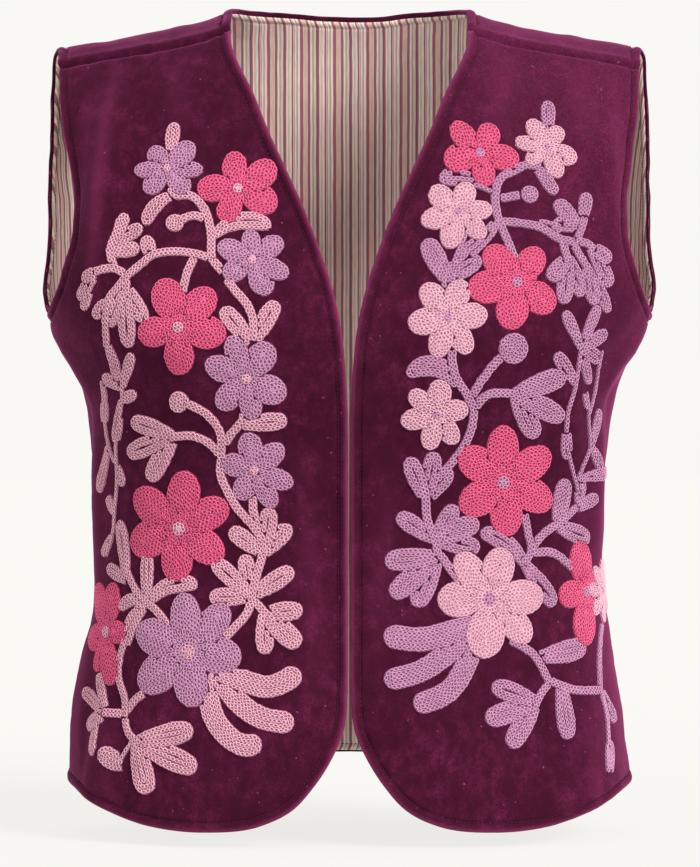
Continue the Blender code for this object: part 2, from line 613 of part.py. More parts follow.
def shell(name, outer, inner, triangles, finish):
    """A closed wall between an outer and an inner face that share one set of triangles."""
    a, b, c = np.array([outer[list(t)] for t in triangles]).transpose(1, 0, 2)
    out = np.array([(outer - inner)[t[0]] for t in triangles])
    if (np.cross(b - a, c - a) * out).sum() < 0:
        triangles = [t[::-1] for t in triangles]
    shape = bmesh.new()
    top = [shape.verts.new(p) for p in outer * MM]
    under = [shape.verts.new(p) for p in inner * MM]
    for t in triangles:
        shape.faces.new([top[i] for i in t]).smooth = True
        shape.faces.new([under[i] for i in reversed(t)]).smooth = True
    for i, j in rim_of(triangles):
        shape.faces.new((top[j], top[i], under[i], under[j]))
    mesh = bpy.data.meshes.new(name)
    shape.to_mesh(mesh)
    shape.free()
    mesh.materials.append(finish)
    made = bpy.data.objects.new(name, mesh)
    garment.objects.link(made)
    return made


def panel(name, outline, spacing, half, side):
    flat, triangles = cut_out([outline], spots=lattice(outline, spacing, FOLDS[name]))
    sheet = Sheet(name, flat, triangles, half, side)
    velvet = material("velvet_plum", VELVET_COLOUR, 0.75, 0.6)
    shell(name, sheet.points, sheet.points - sheet.normals * VELVET_WALL, triangles, velvet)
    return sheet


def on_seam(place, half):
    """Whether an edge place lies on the side seam or the shoulder seam, where lining meets lining."""
    across, down = place
    side = abs(abs(across) - side_at(abs(down), half)[0]) < GAP
    return side or abs(abs(down) - SEAM_DOWN) < GAP and (half == FRONT or down < 0)


def lining(name, sheet):
    """The panel's own places again, drawn in at the free edges and moved inside its wall."""
    flat = sheet.flat.copy()
    rim = rim_of(sheet.triangles)
    after, before = dict(rim), {j: i for i, j in rim}
    turn = 0.5 * sum(flat[i][0] * flat[j][1] - flat[j][0] * flat[i][1] for i, j in rim)
    for i in after:
        run = sheet.flat[after[i]] - sheet.flat[before[i]]
        inward = np.array((-run[1], run[0])) / np.linalg.norm(run) * math.copysign(1, turn)
        if not on_seam(sheet.flat[i], sheet.half):
            flat[i] += inward * LINING_INSET
    points, normals = sheet.lay(flat)
    outer = points - normals * (VELVET_WALL + GAP)
    striped = material("lining_stripe", LINING_COLOUR, 0.8)
    shell(name, outer, outer - normals * LINING_WALL, sheet.triangles, striped)


# ---- embroidered shapes, flat ------------------------------------------------------------------
def band(spine, widths):
    """A strip along a spine, with a width at each of its places."""
    run = np.gradient(spine, axis=0)
    run /= np.linalg.norm(run, axis=1)[:, None]
    off = np.c_[-run[:, 1], run[:, 0]] * np.array(widths)[:, None] / 2
    return [tuple(p) for p in (*(spine + off), *(spine - off)[::-1])]


def tipped(outline):
    """The same strip with a point put in the middle of its far end, to round it."""
    half = len(outline) // 2
    ends = np.array(outline[half - 1 : half + 1])
    out = ends.mean(axis=0) + (ends[1] - ends[0])[::-1] * (0.5, -0.5)
    return [*outline[:half], tuple(out), *outline[half:]]


def stem(rows, *places):
    spine = along(places, STEM_STEP)
    return band(spine, [rows * ROW_WIDTH] * len(spine))


LEAF_WIDTHS = (0.4, 1.0, 0.7)  # of the full width, from the base to the tip


def leaf(base, direction, length, width, bend):
    angle = math.radians(direction)
    run = np.array((math.cos(angle), -math.sin(angle)))
    middle = np.array(base) + run * length / 2 + np.array((run[1], -run[0])) * bend
    tip = np.array(base) + run * (length - width * LEAF_WIDTHS[-1] / 2)
    spine = along((base, middle, tip), length, len(LEAF_WIDTHS) - 1)
    return tipped(band(spine, [width * share for share in LEAF_WIDTHS]))


def tail(width, *places):
    spine = along(places, STEM_STEP)
    share = np.interp(np.linspace(0, 1, len(spine)), (0, 0.3, 0.8, 1), (0.5, 1, 1, 0.7))
    return tipped(band(spine, share * width))


BUD_SIDES = 7


def bud(across, down, radius):
    return [
        (across + radius * math.cos(t), down + radius * math.sin(t))
        for t in np.linspace(0, math.tau, BUD_SIDES, endpoint=False)
    ]


SHOULDER_TURN = 0.27  # a petal's shoulder, as a share of the turn to the next petal
WIDEST_SHOULDER = 19.0  # degrees
SHOULDER_REACH, NOTCH_REACH, CORE_REACH = 0.93, 0.56, 0.52  # shares of a petal's length


def flower_outline(across, down, _yarn, *petals, grow=0.0):
    """Round a flower: each petal's tip and shoulder, the notch after it and the next one's shoulder."""
    polar = []
    for (way, length), (next_way, next_length) in zip(petals, petals[1:] + petals[:1]):
        turn = (next_way - way) % 360
        shoulder = min(turn * SHOULDER_TURN, WIDEST_SHOULDER)
        polar += [
            (way, length), (way + shoulder, length * SHOULDER_REACH),
            (way + turn / 2, (length + next_length) / 2 * NOTCH_REACH),
            (next_way - shoulder, next_length * SHOULDER_REACH),
        ]
    return [
        (across + (reach + grow) * math.cos(math.radians(way)),
         down - (reach + grow) * math.sin(math.radians(way)))
        for way, reach in polar
    ]


def flower_spots(across, down, _yarn, *petals):
    ring = [(math.radians(way), length * CORE_REACH) for way, length in petals]
    return [(across, down), *((across + r * math.cos(t), down - r * math.sin(t)) for t, r in ring)]


# ---- embroidered solids ------------------------------------------------------------------------
WEIGHTS = [
    np.array((i, j, 4 - i - j)) / 4 for i in range(5) for j in range(5 - i) if 4 not in (i, j, 4 - i - j)
]
LIFT_ROUNDS = 4


def applied(name, sheet, flat, triangles, rises, yarn):
    """Wool on a panel: its underside is lifted until it clears every facet that it lies across."""
    points, normals = sheet.lay(flat)
    lift = np.full(len(flat), WOOL_CLEAR)
    corners = np.array(triangles)
    tests = [(w, *sheet.lay(np.einsum("k,nkd->nd", w, flat[corners]))) for w in WEIGHTS]
    for _ in range(LIFT_ROUNDS):
        under = (points + normals * lift[:, None])[corners]
        need = np.zeros(len(corners))
        for weights, cloth, outward in tests:
            clearance = ((np.einsum("k,nkd->nd", weights, under) - cloth) * outward).sum(axis=1)
            need = np.maximum(need, WOOL_CLEAR - clearance)
        extra = np.zeros(len(flat))
        for k in range(3):
            np.maximum.at(extra, corners[:, k], need)
        lift += extra
    under = points + normals * lift[:, None]
    finish = material("wool_" + yarn, YARN_COLOURS[yarn], 0.9)
    return shell(name, under + normals * rises[:, None], under, triangles, finish)


def islands(flat, triangles):
    """Groups of triangles joined edge to edge, the topmost first."""
    owners = {}
    for index, t in enumerate(triangles):
        for i in range(3):
            owners.setdefault(frozenset((t[i], t[(i + 1) % 3])), []).append(index)
    group = list(range(len(triangles)))

    def root(i):
        while group[i] != i:
            i = group[i]
        return i

    for pair in owners.values():
        if len(pair) == 2:
            group[root(pair[0])] = root(pair[1])
    found = {}
    for index, t in enumerate(triangles):
        found.setdefault(root(index), []).append(t)
    pieces = []
    for members in found.values():
        used = sorted({i for t in members for i in t})
        renumbered = {old: new for new, old in enumerate(used)}
        pieces.append((flat[used], [tuple(renumbered[i] for i in t) for t in members]))
    return sorted(pieces, key=lambda piece: piece[0][:, 1].min())


def area_of(flat, triangles):
    a, b, c = flat[np.array(triangles)].transpose(1, 0, 2)
    return abs(np.cross(b - a, c - a)).sum() / 2


def embroider(side_name, sheet, vine_yarn, flowers, stems, sprays, buds, tails):
    placed = []
    for number, flower in enumerate(flowers, 1):
        flat, triangles = cut_out([flower_outline(*flower)], placed, flower_spots(*flower))
        across, down, yarn, *petals = flower
        reach = np.hypot(*(flat - (across, down)).T) / max(length for _, length in petals)
        rises = PETAL_RISE * (1 - PETAL_FALL * smooth_step((reach - CORE_REACH) / (1 - CORE_REACH)))
        applied(f"flower_{side_name}_{number}", sheet, flat, triangles, rises, yarn)
        placed.append(flower_outline(*flower, grow=MOTIF_GAP))
    leaves = [leaf(spray[:2], *one) for spray in sprays for one in spray[2:]]
    shapes = [stem(*row) for row in stems] + leaves
    shapes += [bud(*row) for row in buds] + [tail(*row) for row in tails]
    flat, triangles = cut_out(shapes, placed)
    pieces = [p for p in islands(flat, triangles) if area_of(*p) > SMALLEST_PIECE]
    for number, (piece, faces) in enumerate(pieces, 1):
        rims = [trimmed(piece[loop], OUTLINE_SLACK) for loop in loops_of(faces)]
        holes = [rim for rim in rims if not turns_left(rim)]
        piece, faces = cut_out([rim for rim in rims if turns_left(rim)], holes)
        rises = np.full(len(piece), WOOL_RISE)
        applied(f"vine_{side_name}_{number}", sheet, piece, faces, rises, vine_yarn)


# ---- making it ---------------------------------------------------------------------------------
for old in list(bpy.data.objects):
    bpy.data.objects.remove(old, do_unlink=True)
garment = bpy.data.collections.new("embroidered_waistcoat")
bpy.context.scene.collection.children.link(garment)

back = panel("back", back_outline(), BACK_SPACING, BACK, 1)
front_right = panel("front_right", front_outline(), FRONT_SPACING, FRONT, -1)
front_left = panel("front_left", front_outline(), FRONT_SPACING, FRONT, 1)
lining("lining_back", back)
lining("lining_front_right", front_right)
lining("lining_front_left", front_left)
embroider(
    "right", front_right, "pink", RIGHT_FLOWERS, RIGHT_STEMS, RIGHT_SPRAYS, RIGHT_BUDS, RIGHT_TAILS
)
embroider("left", front_left, "lilac", LEFT_FLOWERS, LEFT_STEMS, LEFT_SPRAYS, LEFT_BUDS, LEFT_TAILS)
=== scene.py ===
import math

import bpy
import numpy as np
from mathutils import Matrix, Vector, geometry


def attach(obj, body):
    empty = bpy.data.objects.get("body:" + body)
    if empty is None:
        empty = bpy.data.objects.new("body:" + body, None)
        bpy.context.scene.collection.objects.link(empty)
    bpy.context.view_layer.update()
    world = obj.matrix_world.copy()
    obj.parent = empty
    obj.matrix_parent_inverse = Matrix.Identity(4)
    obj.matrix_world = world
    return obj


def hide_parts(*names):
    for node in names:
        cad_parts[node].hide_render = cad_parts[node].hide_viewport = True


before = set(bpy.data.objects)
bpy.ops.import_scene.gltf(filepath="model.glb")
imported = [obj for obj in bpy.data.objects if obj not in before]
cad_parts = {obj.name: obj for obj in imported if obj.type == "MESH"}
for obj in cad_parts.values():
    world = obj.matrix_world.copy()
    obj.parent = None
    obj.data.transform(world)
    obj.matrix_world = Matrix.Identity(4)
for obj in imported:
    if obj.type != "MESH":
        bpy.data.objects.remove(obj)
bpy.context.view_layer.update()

# ---- Velvet fronts -----------------------------------------------------------------------------
# Two fronts of cotton velvet, mirror images in cut, laid round the body from shoulder to side seam and
# bagged out with the lining: a free edge is turned, so it is a soft roll, and sewn seams sink a little.
# Sizes are in millimetres on the flat cut: across from the centre line, down from the shoulder's ridge.
MM = 0.001
VELVET_WALL = 2.0
GAP = 0.3  # between the velvet and its lining
SEAM_GAP = 0.12  # between two pieces at a seam, where the stitching draws them together
FRONT, BACK = 0, 1
DEPTHS = (  # drop, front depth, back depth
    (0, 0, 0), (1.5, 12, 12), (7, 28, 28), (17, 44, 43), (34, 60, 59), (60, 76, 75), (95, 91, 91),
    (135, 105, 100), (175, 117, 102), (210, 123, 98), (245, 119, 92), (290, 108, 84), (340, 101, 80),
    (400, 106, 88), (460, 112, 100), (545, 119, 114),
)
WIDTHS = (  # drop, half width, squareness of the section
    (-20, 210, 3.0), (60, 210, 2.9), (115, 209, 2.6), (150, 209.5, 2.54), (176, 209, 2.5),
    (192, 205, 2.55), (211, 196, 2.6), (224, 188.5, 2.58), (238, 183, 2.54), (265, 177, 2.5),
    (300, 173, 2.42), (340, 170.5, 2.35), (380, 172.5, 2.32), (420, 178, 2.3), (460, 184, 2.29),
    (507, 191, 2.27), (545, 195, 2.25),
)
RIDGE = (  # half width, height of the shoulder ridge
    (0, 40), (40, 33), (70, 19), (80, 14), (90, 9), (102, 5), (116, 1.5), (136, -2), (157, -5.3),
    (180, -9), (199, -13), (215, -17),
)
RIDGE_FADE = 140.0  # the drop at which the ridge's slope has faded out
SEAM_DOWN = 48.0  # the shoulder seam lies this far down the front
SIDE_TOP_DROP, SIDE_HEM_DROP = 192.0, 507.0  # where the side seams begin and end
CENTRE_EDGE, CENTRE_END_DOWN = 0.9, 494.0  # the front edge, down to where it rounds off
NECK_EDGE = (  # across, down
    (80, SEAM_DOWN), (79, 62), (74, 80), (64, 103), (53, 129), (41, 152), (29, 176), (19, 203),
    (10.5, 231), (5, 257), (2.3, 284), (CENTRE_EDGE, 312),
)
FRONT_HEM = (
    (CENTRE_EDGE, CENTRE_END_DOWN), (3.4, 520), (12, 540), (23, 557), (38, 573), (59, 583),
    (97, 587.5), (131, 585.5), (170, 577), (210, 565), (250, 559.7),
)
FRONT_ARMHOLE = (
    (270.5, 241.6), (233, 240), (213, 228), (203, 212), (194.5, 194), (192, 172), (195, 134),
    (198, 99), (198.6, 70), (198, SEAM_DOWN),
)
RIGHT_FOLDS = (  # across and down of each end, half width, height
    (152, 54, 178, 226, 14, 6.0), (190, 84, 188, 206, 10, -2.4), (248, 246, 192, 306, 12, 5.0),
    (226, 268, 206, 344, 11, -3.0), (194, 306, 204, 440, 13, 3.4), (214, 452, 222, 560, 12, 4.8),
    (174, 492, 178, 576, 11, 3.0), (44, 330, 26, 470, 20, 2.0), (112, 56, 106, 124, 16, 2.0),
    (150, 56, 174, 222, 6, 1.9), (206, 330, 208, 430, 6, 1.4), (200, 470, 206, 556, 6, 1.6),
)
LEFT_FOLDS = (
    (160, 54, 184, 214, 14, 4.4), (242, 246, 188, 300, 12, 4.6), (218, 266, 200, 330, 10, -2.8),
    (146, 258, 158, 350, 12, 3.0), (188, 300, 194, 430, 13, 3.8), (206, 450, 214, 560, 12, 1.0),
    (172, 490, 178, 574, 11, 3.4), (104, 56, 98, 120, 16, 2.0), (66, 500, 76, 574, 16, 2.2),
    (164, 58, 182, 200, 6, 1.3), (204, 340, 206, 430, 6, 1.4),
)
RIGHT_HIGHLIGHTS = (  # painted highlight along a fold, where the pile catches the light: ends, half width, how far
    (154, 52, 179, 250, 5, 0.34), (166, 60, 190, 180, 9, 0.12), (246, 248, 196, 300, 6, 0.24),
    (206, 320, 210, 450, 6, 0.22), (208, 460, 214, 570, 7, 0.22), (166, 500, 172, 590, 7, 0.14),
    (120, 52, 108, 130, 9, 0.1), (30, 330, 20, 520, 8, 0.1), (222, 260, 222, 590, 26, 0.2),
)
LEFT_HIGHLIGHTS = (
    (176, 58, 190, 230, 7, 0.16), (150, 54, 160, 130, 8, 0.16), (244, 246, 196, 300, 6, 0.22),
    (200, 300, 206, 450, 8, 0.22), (204, 470, 210, 570, 7, 0.18), (168, 500, 174, 590, 7, 0.14),
    (104, 54, 96, 130, 9, 0.16), (26, 330, 18, 500, 8, 0.1), (218, 250, 216, 590, 34, 0.42),
)
FRONT_CREASES = (  # finer ones, which the shoulder seam and the underarm draw into the cloth
    (96, 50, 92, 76, 5, 0.8), (118, 50, 120, 84, 6, -0.9), (134, 50, 138, 92, 5, 0.9),
    (148, 50, 146, 74, 4, -0.7), (168, 50, 176, 88, 5, 0.9), (184, 52, 186, 76, 4, -0.7),
    (262, 246, 226, 262, 5, 1.3), (256, 252, 214, 284, 4, -1.0), (236, 300, 224, 380, 6, 1.0),
    (232, 420, 226, 520, 6, 1.1), (188, 540, 192, 576, 5, 0.9), (140, 540, 146, 584, 7, 0.8),
)
FRONT_SPAN = (40, 600)  # how far down the fronts' cloth is worked out, from and to
ACROSS_SHARES = np.linspace(0, 1, 131)  # of the way round from the centre line to the side
FRONT_EDGE_STEP, FRONT_NET_STEP = 3.0, 4.0  # between points of the mesh, on its outline and inside
CORNER_CLEAR = 0.93  # a row's place is left out where the edge comes nearer than this share of its inset


def smooth_curve(at, keys, values):
    """Reads a smooth curve through the values that stand at these keys."""
    at = np.clip(at, keys[0], keys[-1])
    slopes = np.gradient(values, keys)
    i = np.clip(np.searchsorted(keys, at, side="right") - 1, 0, len(keys) - 2)
    step = keys[i + 1] - keys[i]
    t = (at - keys[i]) / step
    near_end = (2 * t**3 - 3 * t**2 + 1) * values[i] + (t**3 - 2 * t**2 + t) * step * slopes[i]
    return near_end + (-2 * t**3 + 3 * t**2) * values[i + 1] + (t**3 - t**2) * step * slopes[i + 1]


def read_off(table, index, at):
    """Reads one of a table's columns smoothly, at places along its first column."""
    keys, values = np.array(table, float)[:, [0, index]].T
    return smooth_curve(at, keys, values)


def ease(t):
    """A smooth rise from 0 to 1."""
    t = np.clip(t, 0, 1)
    return t * t * (3 - 2 * t)


def near(off, width):
    """1 on a line, falling softly to nothing about two of these widths away from it."""
    return np.exp(-((off / width) ** 2))


def distance_along(x, y):
    """How far along a run each of its points lies."""
    return np.r_[0, np.cumsum(np.hypot(np.diff(x), np.diff(y)))]


def run_through(points, spacing):
    """A smooth run through the points, as places about a spacing apart."""
    points = np.array(points, float)
    chord = distance_along(*points.T)
    fine = np.linspace(0, chord[-1], 40 * len(points))
    read = smooth_curve if len(points) > 2 else np.interp
    x, y = (read(fine, chord, values) for values in points.T)
    run = distance_along(x, y)
    at = np.linspace(0, run[-1], max(1, round(run[-1] / spacing)) + 1)
    return np.c_[np.interp(at, run, x), np.interp(at, run, y)]


def middle_line(depth_column):
    """Down the middle of the front or the back: distance run, drop and depth."""
    profile = np.array(DEPTHS, float)[:, [0, depth_column]].T
    chord = distance_along(*profile)
    drop, depth = (smooth_curve(np.linspace(0, chord[-1], 3000), chord, values) for values in profile)
    return distance_along(drop, depth), drop, depth


MIDDLES = (middle_line(1), middle_line(2))


def levels(down, half):
    """The body's section at each distance down: its drop, then x, y and distance round."""
    run, drops, depths = MIDDLES[half]
    drop, depth = np.interp(down, run, drops), np.interp(down, run, depths)
    width, power = read_off(WIDTHS, 1, drop)[:, None], 2 / read_off(WIDTHS, 2, drop)[:, None]
    turn = np.linspace(math.pi / 2, 0, 161)
    x, y = width * np.cos(turn).clip(0) ** power, depth[:, None] * np.sin(turn) ** power
    steps = np.hypot(np.diff(x, axis=1), np.diff(y, axis=1))
    return drop, x, y, np.c_[np.zeros(len(x)), np.cumsum(steps, axis=1)]


def down_at(drop, half):
    run, drops, _ = MIDDLES[half]
    return float(np.interp(drop, drops, run))


def fold_height(folds, across, down):
    """How high the folds stand at these places: each is a soft ridge that fades out at its ends."""
    height = np.zeros(across.shape)
    for x0, y0, x1, y1, width, rise in folds:
        length = math.hypot(x1 - x0, y1 - y0)
        tx, ty = (x1 - x0) / length, (y1 - y0) / length
        t = ((across - x0) * tx + (down - y0) * ty) / length
        off = (across - x0) * ty - (down - y0) * tx
        taper = np.where((t > 0) & (t < 1), np.sin(math.pi * t.clip(0, 1)), 0)
        height += rise * taper * near(off, width)
    return height


def unevenness(flat, size, seed):
    """A gentle, irregular swell between about -1 and 1, with bumps of roughly this size."""
    pick = np.random.default_rng(seed)
    total = np.zeros(len(flat))
    for _ in range(7):
        angle, phase = pick.uniform(0, math.tau, 2)
        pitch = size * pick.uniform(1.5, 3.2)
        along = flat[:, 0] * math.cos(angle) + flat[:, 1] * math.sin(angle)
        total += np.sin(along * math.tau / pitch + phase)
    return total / 3.2


class Drape:
    """A panel's cloth laid round the body: a net of points and outward directions to lay things on."""

    STEP = 2.5  # between the net's rows
    SWELLS = ((26, 0.5), (12, 0.18))  # the size and height of the cloth's soft unevenness
    SIDE_CALM, SEAM_CALM = 14.0, 12.0  # how near a side or shoulder seam it begins to lie flat

    def __init__(self, half, shares, span, folds, side, seed):
        self.side, self.top, self.shares = side, span[0], shares
        self.downs = np.arange(span[0], span[1] + self.STEP, self.STEP)
        self.reach = np.zeros(len(self.downs))
        rows = []
        for i, at in enumerate(self.downs):
            part_half = half if at >= 0 else 1 - half
            drop, x, y, run = (part[0] for part in levels(np.array([abs(at)]), part_half))
            self.reach[i] = run[-1]
            away = np.abs(shares) * run[-1]
            px = np.interp(away, run, x)
            lift = read_off(RIDGE, 1, px) * ease(1 - drop / RIDGE_FADE)
            facing = -1.0 if part_half == FRONT else 1.0
            flip = np.where(shares < 0, -1, 1) * side
            rows.append(np.c_[px * flip, facing * np.interp(away, run, y), lift - drop])
        self.points = np.array(rows)
        across = shares[None, :] * self.reach[:, None]
        down = np.repeat(self.downs[:, None], len(shares), axis=1)
        spots = np.c_[across.ravel(), down.ravel()]
        swell = sum(unevenness(spots, size, seed + k) * rise for k, (size, rise) in enumerate(self.SWELLS))
        seam_at = SEAM_DOWN if half == FRONT else -SEAM_DOWN
        swell = swell.reshape(across.shape) * ease(np.abs(down - seam_at) / self.SEAM_CALM)
        fade = ease((self.reach[:, None] - np.abs(across)) / self.SIDE_CALM)
        self.points += self.outward() * ((fold_height(folds, across, down) + swell) * fade)[..., None]
        self.normals = self.outward()

    def outward(self):
        normal = np.cross(np.gradient(self.points, axis=1), np.gradient(self.points, axis=0))
        normal /= np.linalg.norm(normal, axis=2)[..., None].clip(1e-9)
        centre = self.points.mean(axis=(0, 1)) * (0, 0, 1)
        return normal * np.sign((normal * (self.points - centre))[5:-5].sum())

    def lay(self, flat, height=0.0):
        """Points of the cloth at these places, moved out by a height."""
        row = ((flat[:, 1] - self.top) / self.STEP).clip(0, len(self.downs) - 1.001)
        share = flat[:, 0] / np.interp(flat[:, 1], self.downs, self.reach)
        col = (share - self.shares[0]) / (self.shares[1] - self.shares[0])
        col = col.clip(0, len(self.shares) - 1.001)
        i, j = row.astype(int), col.astype(int)
        r, c = (row - i)[:, None], (col - j)[:, None]

        def read(net):
            upper = net[i, j] * (1 - c) + net[i, j + 1] * c
            lower = net[i + 1, j] * (1 - c) + net[i + 1, j + 1] * c
            return upper * (1 - r) + lower * r

        outward = read(self.normals)
        outward /= np.linalg.norm(outward, axis=1)[:, None]
        return read(self.points) + outward * np.broadcast_to(height, len(flat))[:, None]


def joined(runs):
    """The outline that these runs make, each of which starts where the last one ends."""
    return np.array([p for run in runs for p in run[:-1]])


def side_seam(half, spacing):
    low, high = down_at(SIDE_HEM_DROP, half), down_at(SIDE_TOP_DROP, half)
    down = np.linspace(low, high, round((low - high) / spacing) + 1)
    return np.c_[levels(down, half)[3][:, -1] - SEAM_GAP / 2, down]


def cut_out(half, spacing, seam_at, drawn, order):
    """A panel's outline as named runs in order, from its drawn edges and the two seams between them."""
    runs = {name: run_through(points, spacing) for name, points in drawn.items()}
    runs["side"] = side_seam(half, spacing)
    runs["neck"][0, 1] = runs["armhole"][-1, 1] = seam_at
    runs["hem"][-1], runs["armhole"][0] = runs["side"][0], runs["side"][-1]
    runs["shoulder"] = run_through((runs["armhole"][-1], runs["neck"][0]), spacing)
    return {name: runs[name] for name in order}


def front_cut(spacing):
    centre = (NECK_EDGE[-1], (CENTRE_EDGE, CENTRE_END_DOWN))
    drawn = {"neck": NECK_EDGE, "centre": centre, "hem": FRONT_HEM, "armhole": FRONT_ARMHOLE}
    order = ("shoulder", "neck", "centre", "hem", "side", "armhole")
    return cut_out(FRONT, spacing, SEAM_DOWN + SEAM_GAP / 2, drawn, order)


FREE_EDGES, SEWN_EDGES = ("neck", "centre", "hem", "armhole"), ("side", "shoulder")


def runs_of(cut, names):
    """The runs of a cut that have these names, on both halves of a piece cut on the fold."""
    return [run for name, run in cut.items() if name.split("-")[0] in names]


def closed(outline):
    """An outline as one run that comes back to its start."""
    return [np.vstack([outline, outline[:1]])]


def away_from(places, runs):
    """Distance from each place to the nearest of these runs."""
    least = np.full(len(places), 1e9)
    for run in runs:
        for a, b in zip(run[:-1], run[1:]):
            span = b - a
            t = (((places - a) @ span) / (span @ span)).clip(0, 1)
            least = np.minimum(least, np.hypot(*(places - a - t[:, None] * span).T))
    return least


def within(places, outline):
    inside = np.zeros(len(places), bool)
    for a, b in zip(outline, np.roll(outline, -1, axis=0)):
        crosses = (a[1] > places[:, 1]) != (b[1] > places[:, 1])
        at = a[0] + (places[:, 1] - a[1]) / (b[1] - a[1] + 1e-12) * (b[0] - a[0])
        inside ^= crosses & (places[:, 0] < at)
    return inside


def turn_of(outline):
    """Which way round an outline runs: 1 or -1."""
    x, y = outline.T
    return math.copysign(1, (x * np.roll(y, -1) - np.roll(x, -1) * y).sum())


def inward_of(outline):
    run = np.roll(outline, -1, axis=0) - np.roll(outline, 1, axis=0)
    return np.c_[-run[:, 1], run[:, 0]] / np.linalg.norm(run, axis=1)[:, None] * turn_of(outline)


def net_of(outline, rings, spacing):
    """Flat points and triangles: rows that follow the edge, for its roll and stitches, then an even net."""
    low, high = outline.min(axis=0), outline.max(axis=0)
    rows = np.arange(low[1] + spacing / 2, high[1], spacing * math.sqrt(0.75))
    even = np.array([
        (x, y) for k, y in enumerate(rows)
        for x in np.arange(low[0] + spacing * (0.5 if k % 2 else 1), high[0], spacing)
    ])
    even = even[within(even, outline)]
    even = even[away_from(even, closed(outline)) > rings[-1] + spacing * 0.6]
    spots = []
    for ring in rings:
        places = outline + inward_of(outline) * ring
        spots.append(places[away_from(places, closed(outline)) > ring * CORNER_CLEAR])
    anchors = outline if turn_of(outline) > 0 else outline[::-1]
    points = [Vector(p) for p in (*anchors, *np.vstack([*spots, even]))]
    made, _, faces, *_ = geometry.delaunay_2d_cdt(points, [], [list(range(len(anchors)))], 1, 0.01)
    return np.array(made, float), np.array([f for f in faces if len(f) == 3])


def mesh_piece(name, points, faces, finish, flat=None):
    """A piece from points in millimetres and triangles, smooth, with its flat places as its UV map."""
    mesh = bpy.data.meshes.new(name)
    mesh.vertices.add(len(points))
    mesh.vertices.foreach_set("co", (points * MM).astype(np.float32).ravel())
    mesh.loops.add(faces.size)
    mesh.loops.foreach_set("vertex_index", faces.astype(np.int32).ravel())
    mesh.polygons.add(len(faces))
    mesh.polygons.foreach_set("loop_start", np.arange(0, faces.size, faces.shape[1], dtype=np.int32))
    mesh.update(calc_edges=True)
    mesh.shade_smooth()
    if flat is not None:
        layer = mesh.uv_layers.new(name="cloth")
        layer.data.foreach_set("uv", (flat[faces.ravel()] * MM).astype(np.float32).ravel())
    mesh.materials.append(finish)
    piece = bpy.data.objects.new(name, mesh)
    bpy.context.scene.collection.objects.link(piece)
    return piece


def mark(piece, name, values):
    """Writes a number on each of a piece's points, for its finish to read."""
    layer = piece.data.attributes.new(name, "FLOAT", "POINT")
    layer.data.foreach_set("value", values.astype(np.float32))


def cloth_wall(name, drape, net, outer, inner, finish, woven=None):
    """A wall of cloth between two heights over the same net, closed along its rim."""
    flat, faces = net
    top, under = drape.lay(flat, outer), drape.lay(flat, inner)
    a, b, c = top[faces].transpose(1, 0, 2)
    if (np.cross(b - a, c - a) * (top - under)[faces[:, 0]]).sum() < 0:
        faces = faces[:, ::-1]
    count = len(flat)
    edges = {(t[i], t[(i + 1) % 3]) for t in faces.tolist() for i in range(3)}
    rim = np.array([edge for edge in edges if edge[::-1] not in edges])
    i, j = rim.T
    walls = np.vstack([np.c_[j, i, i + count], np.c_[j, i + count, j + count]])
    every = np.vstack([faces, faces[:, ::-1] + count, walls])
    woven = flat if woven is None else woven
    return mesh_piece(name, np.vstack([top, under]), every, finish, np.vstack([woven, woven]))


STITCH_IN = 6.2  # the topstitching runs this far in from every free edge
EDGE_RINGS = (0.35, 0.9, 1.8, 3.2, 4.8, 5.5, 6.2, 6.9, 7.8, 9.8)
EDGE_ROLL, EDGE_SWELL, STITCH_DIP = 1.5, 0.75, 1.35
SEAM_SHAPES = (  # run, way (0 across, 1 down), depth and width it sinks, puckers' size, stretch, height
    ("shoulder", 0, 1.9, 1.7, 5.5, 0.25, 0.75), ("side", 1, 1.3, 1.5, 9, 0.3, 0.35),
)
FRONT_PUFF, BACK_PUFF = 0.5, 1.3  # how far the cloth stands up beside the shoulder seam


def turned_edge(away):
    """The velvet's face near a free edge: it rolls over, swells, and dips where it is stitched."""
    roll = EDGE_ROLL - np.sqrt((EDGE_ROLL**2 - (EDGE_ROLL - away.clip(0, EDGE_ROLL)) ** 2).clip(0))
    swell = EDGE_SWELL * np.sin(math.pi * (away / STITCH_IN).clip(0, 1)) ** 0.8
    return swell - roll - STITCH_DIP * near(away - STITCH_IN, 0.95)


def velvet_face(flat, cut, free, seed, puff):
    """Heights of the velvet over its plain form: edges, sewn seams, puckers and soft unevenness."""
    height = turned_edge(free) * (1 + 0.3 * unevenness(flat, 7, seed))
    height += puff * near(away_from(flat, [cut["shoulder"]]) - 6.5, 4.5)
    for number, (seam, way, depth, width, size, stretch, rise) in enumerate(SEAM_SHAPES, 1):
        away = away_from(flat, [cut[seam]])
        pucker = unevenness(np.c_[flat[:, way], away * stretch], size, seed + number)
        height += pucker * (rise * np.exp(-away / 9) * (1 - np.exp(-away / 2))) - depth * near(away, width)
    return height


def velvet_under(free):
    """The velvet's wrong side, which comes out to meet its face where an edge is turned."""
    return -VELVET_WALL - 0.1 + 0.5 * near(free, 0.9)


def paint_highlights(piece, flat, crests, free):
    """Marks painted highlights: along folds and on the rolled edge, with less of it in the stitching's dip.
    """
    pale = fold_height(crests, *flat.T).clip(0, 1)
    pale += 0.75 * near(free, 1.8) - 0.35 * near(free - STITCH_IN, 0.9)
    mark(piece, "crest", np.tile(pale.clip(0, 1), 2))


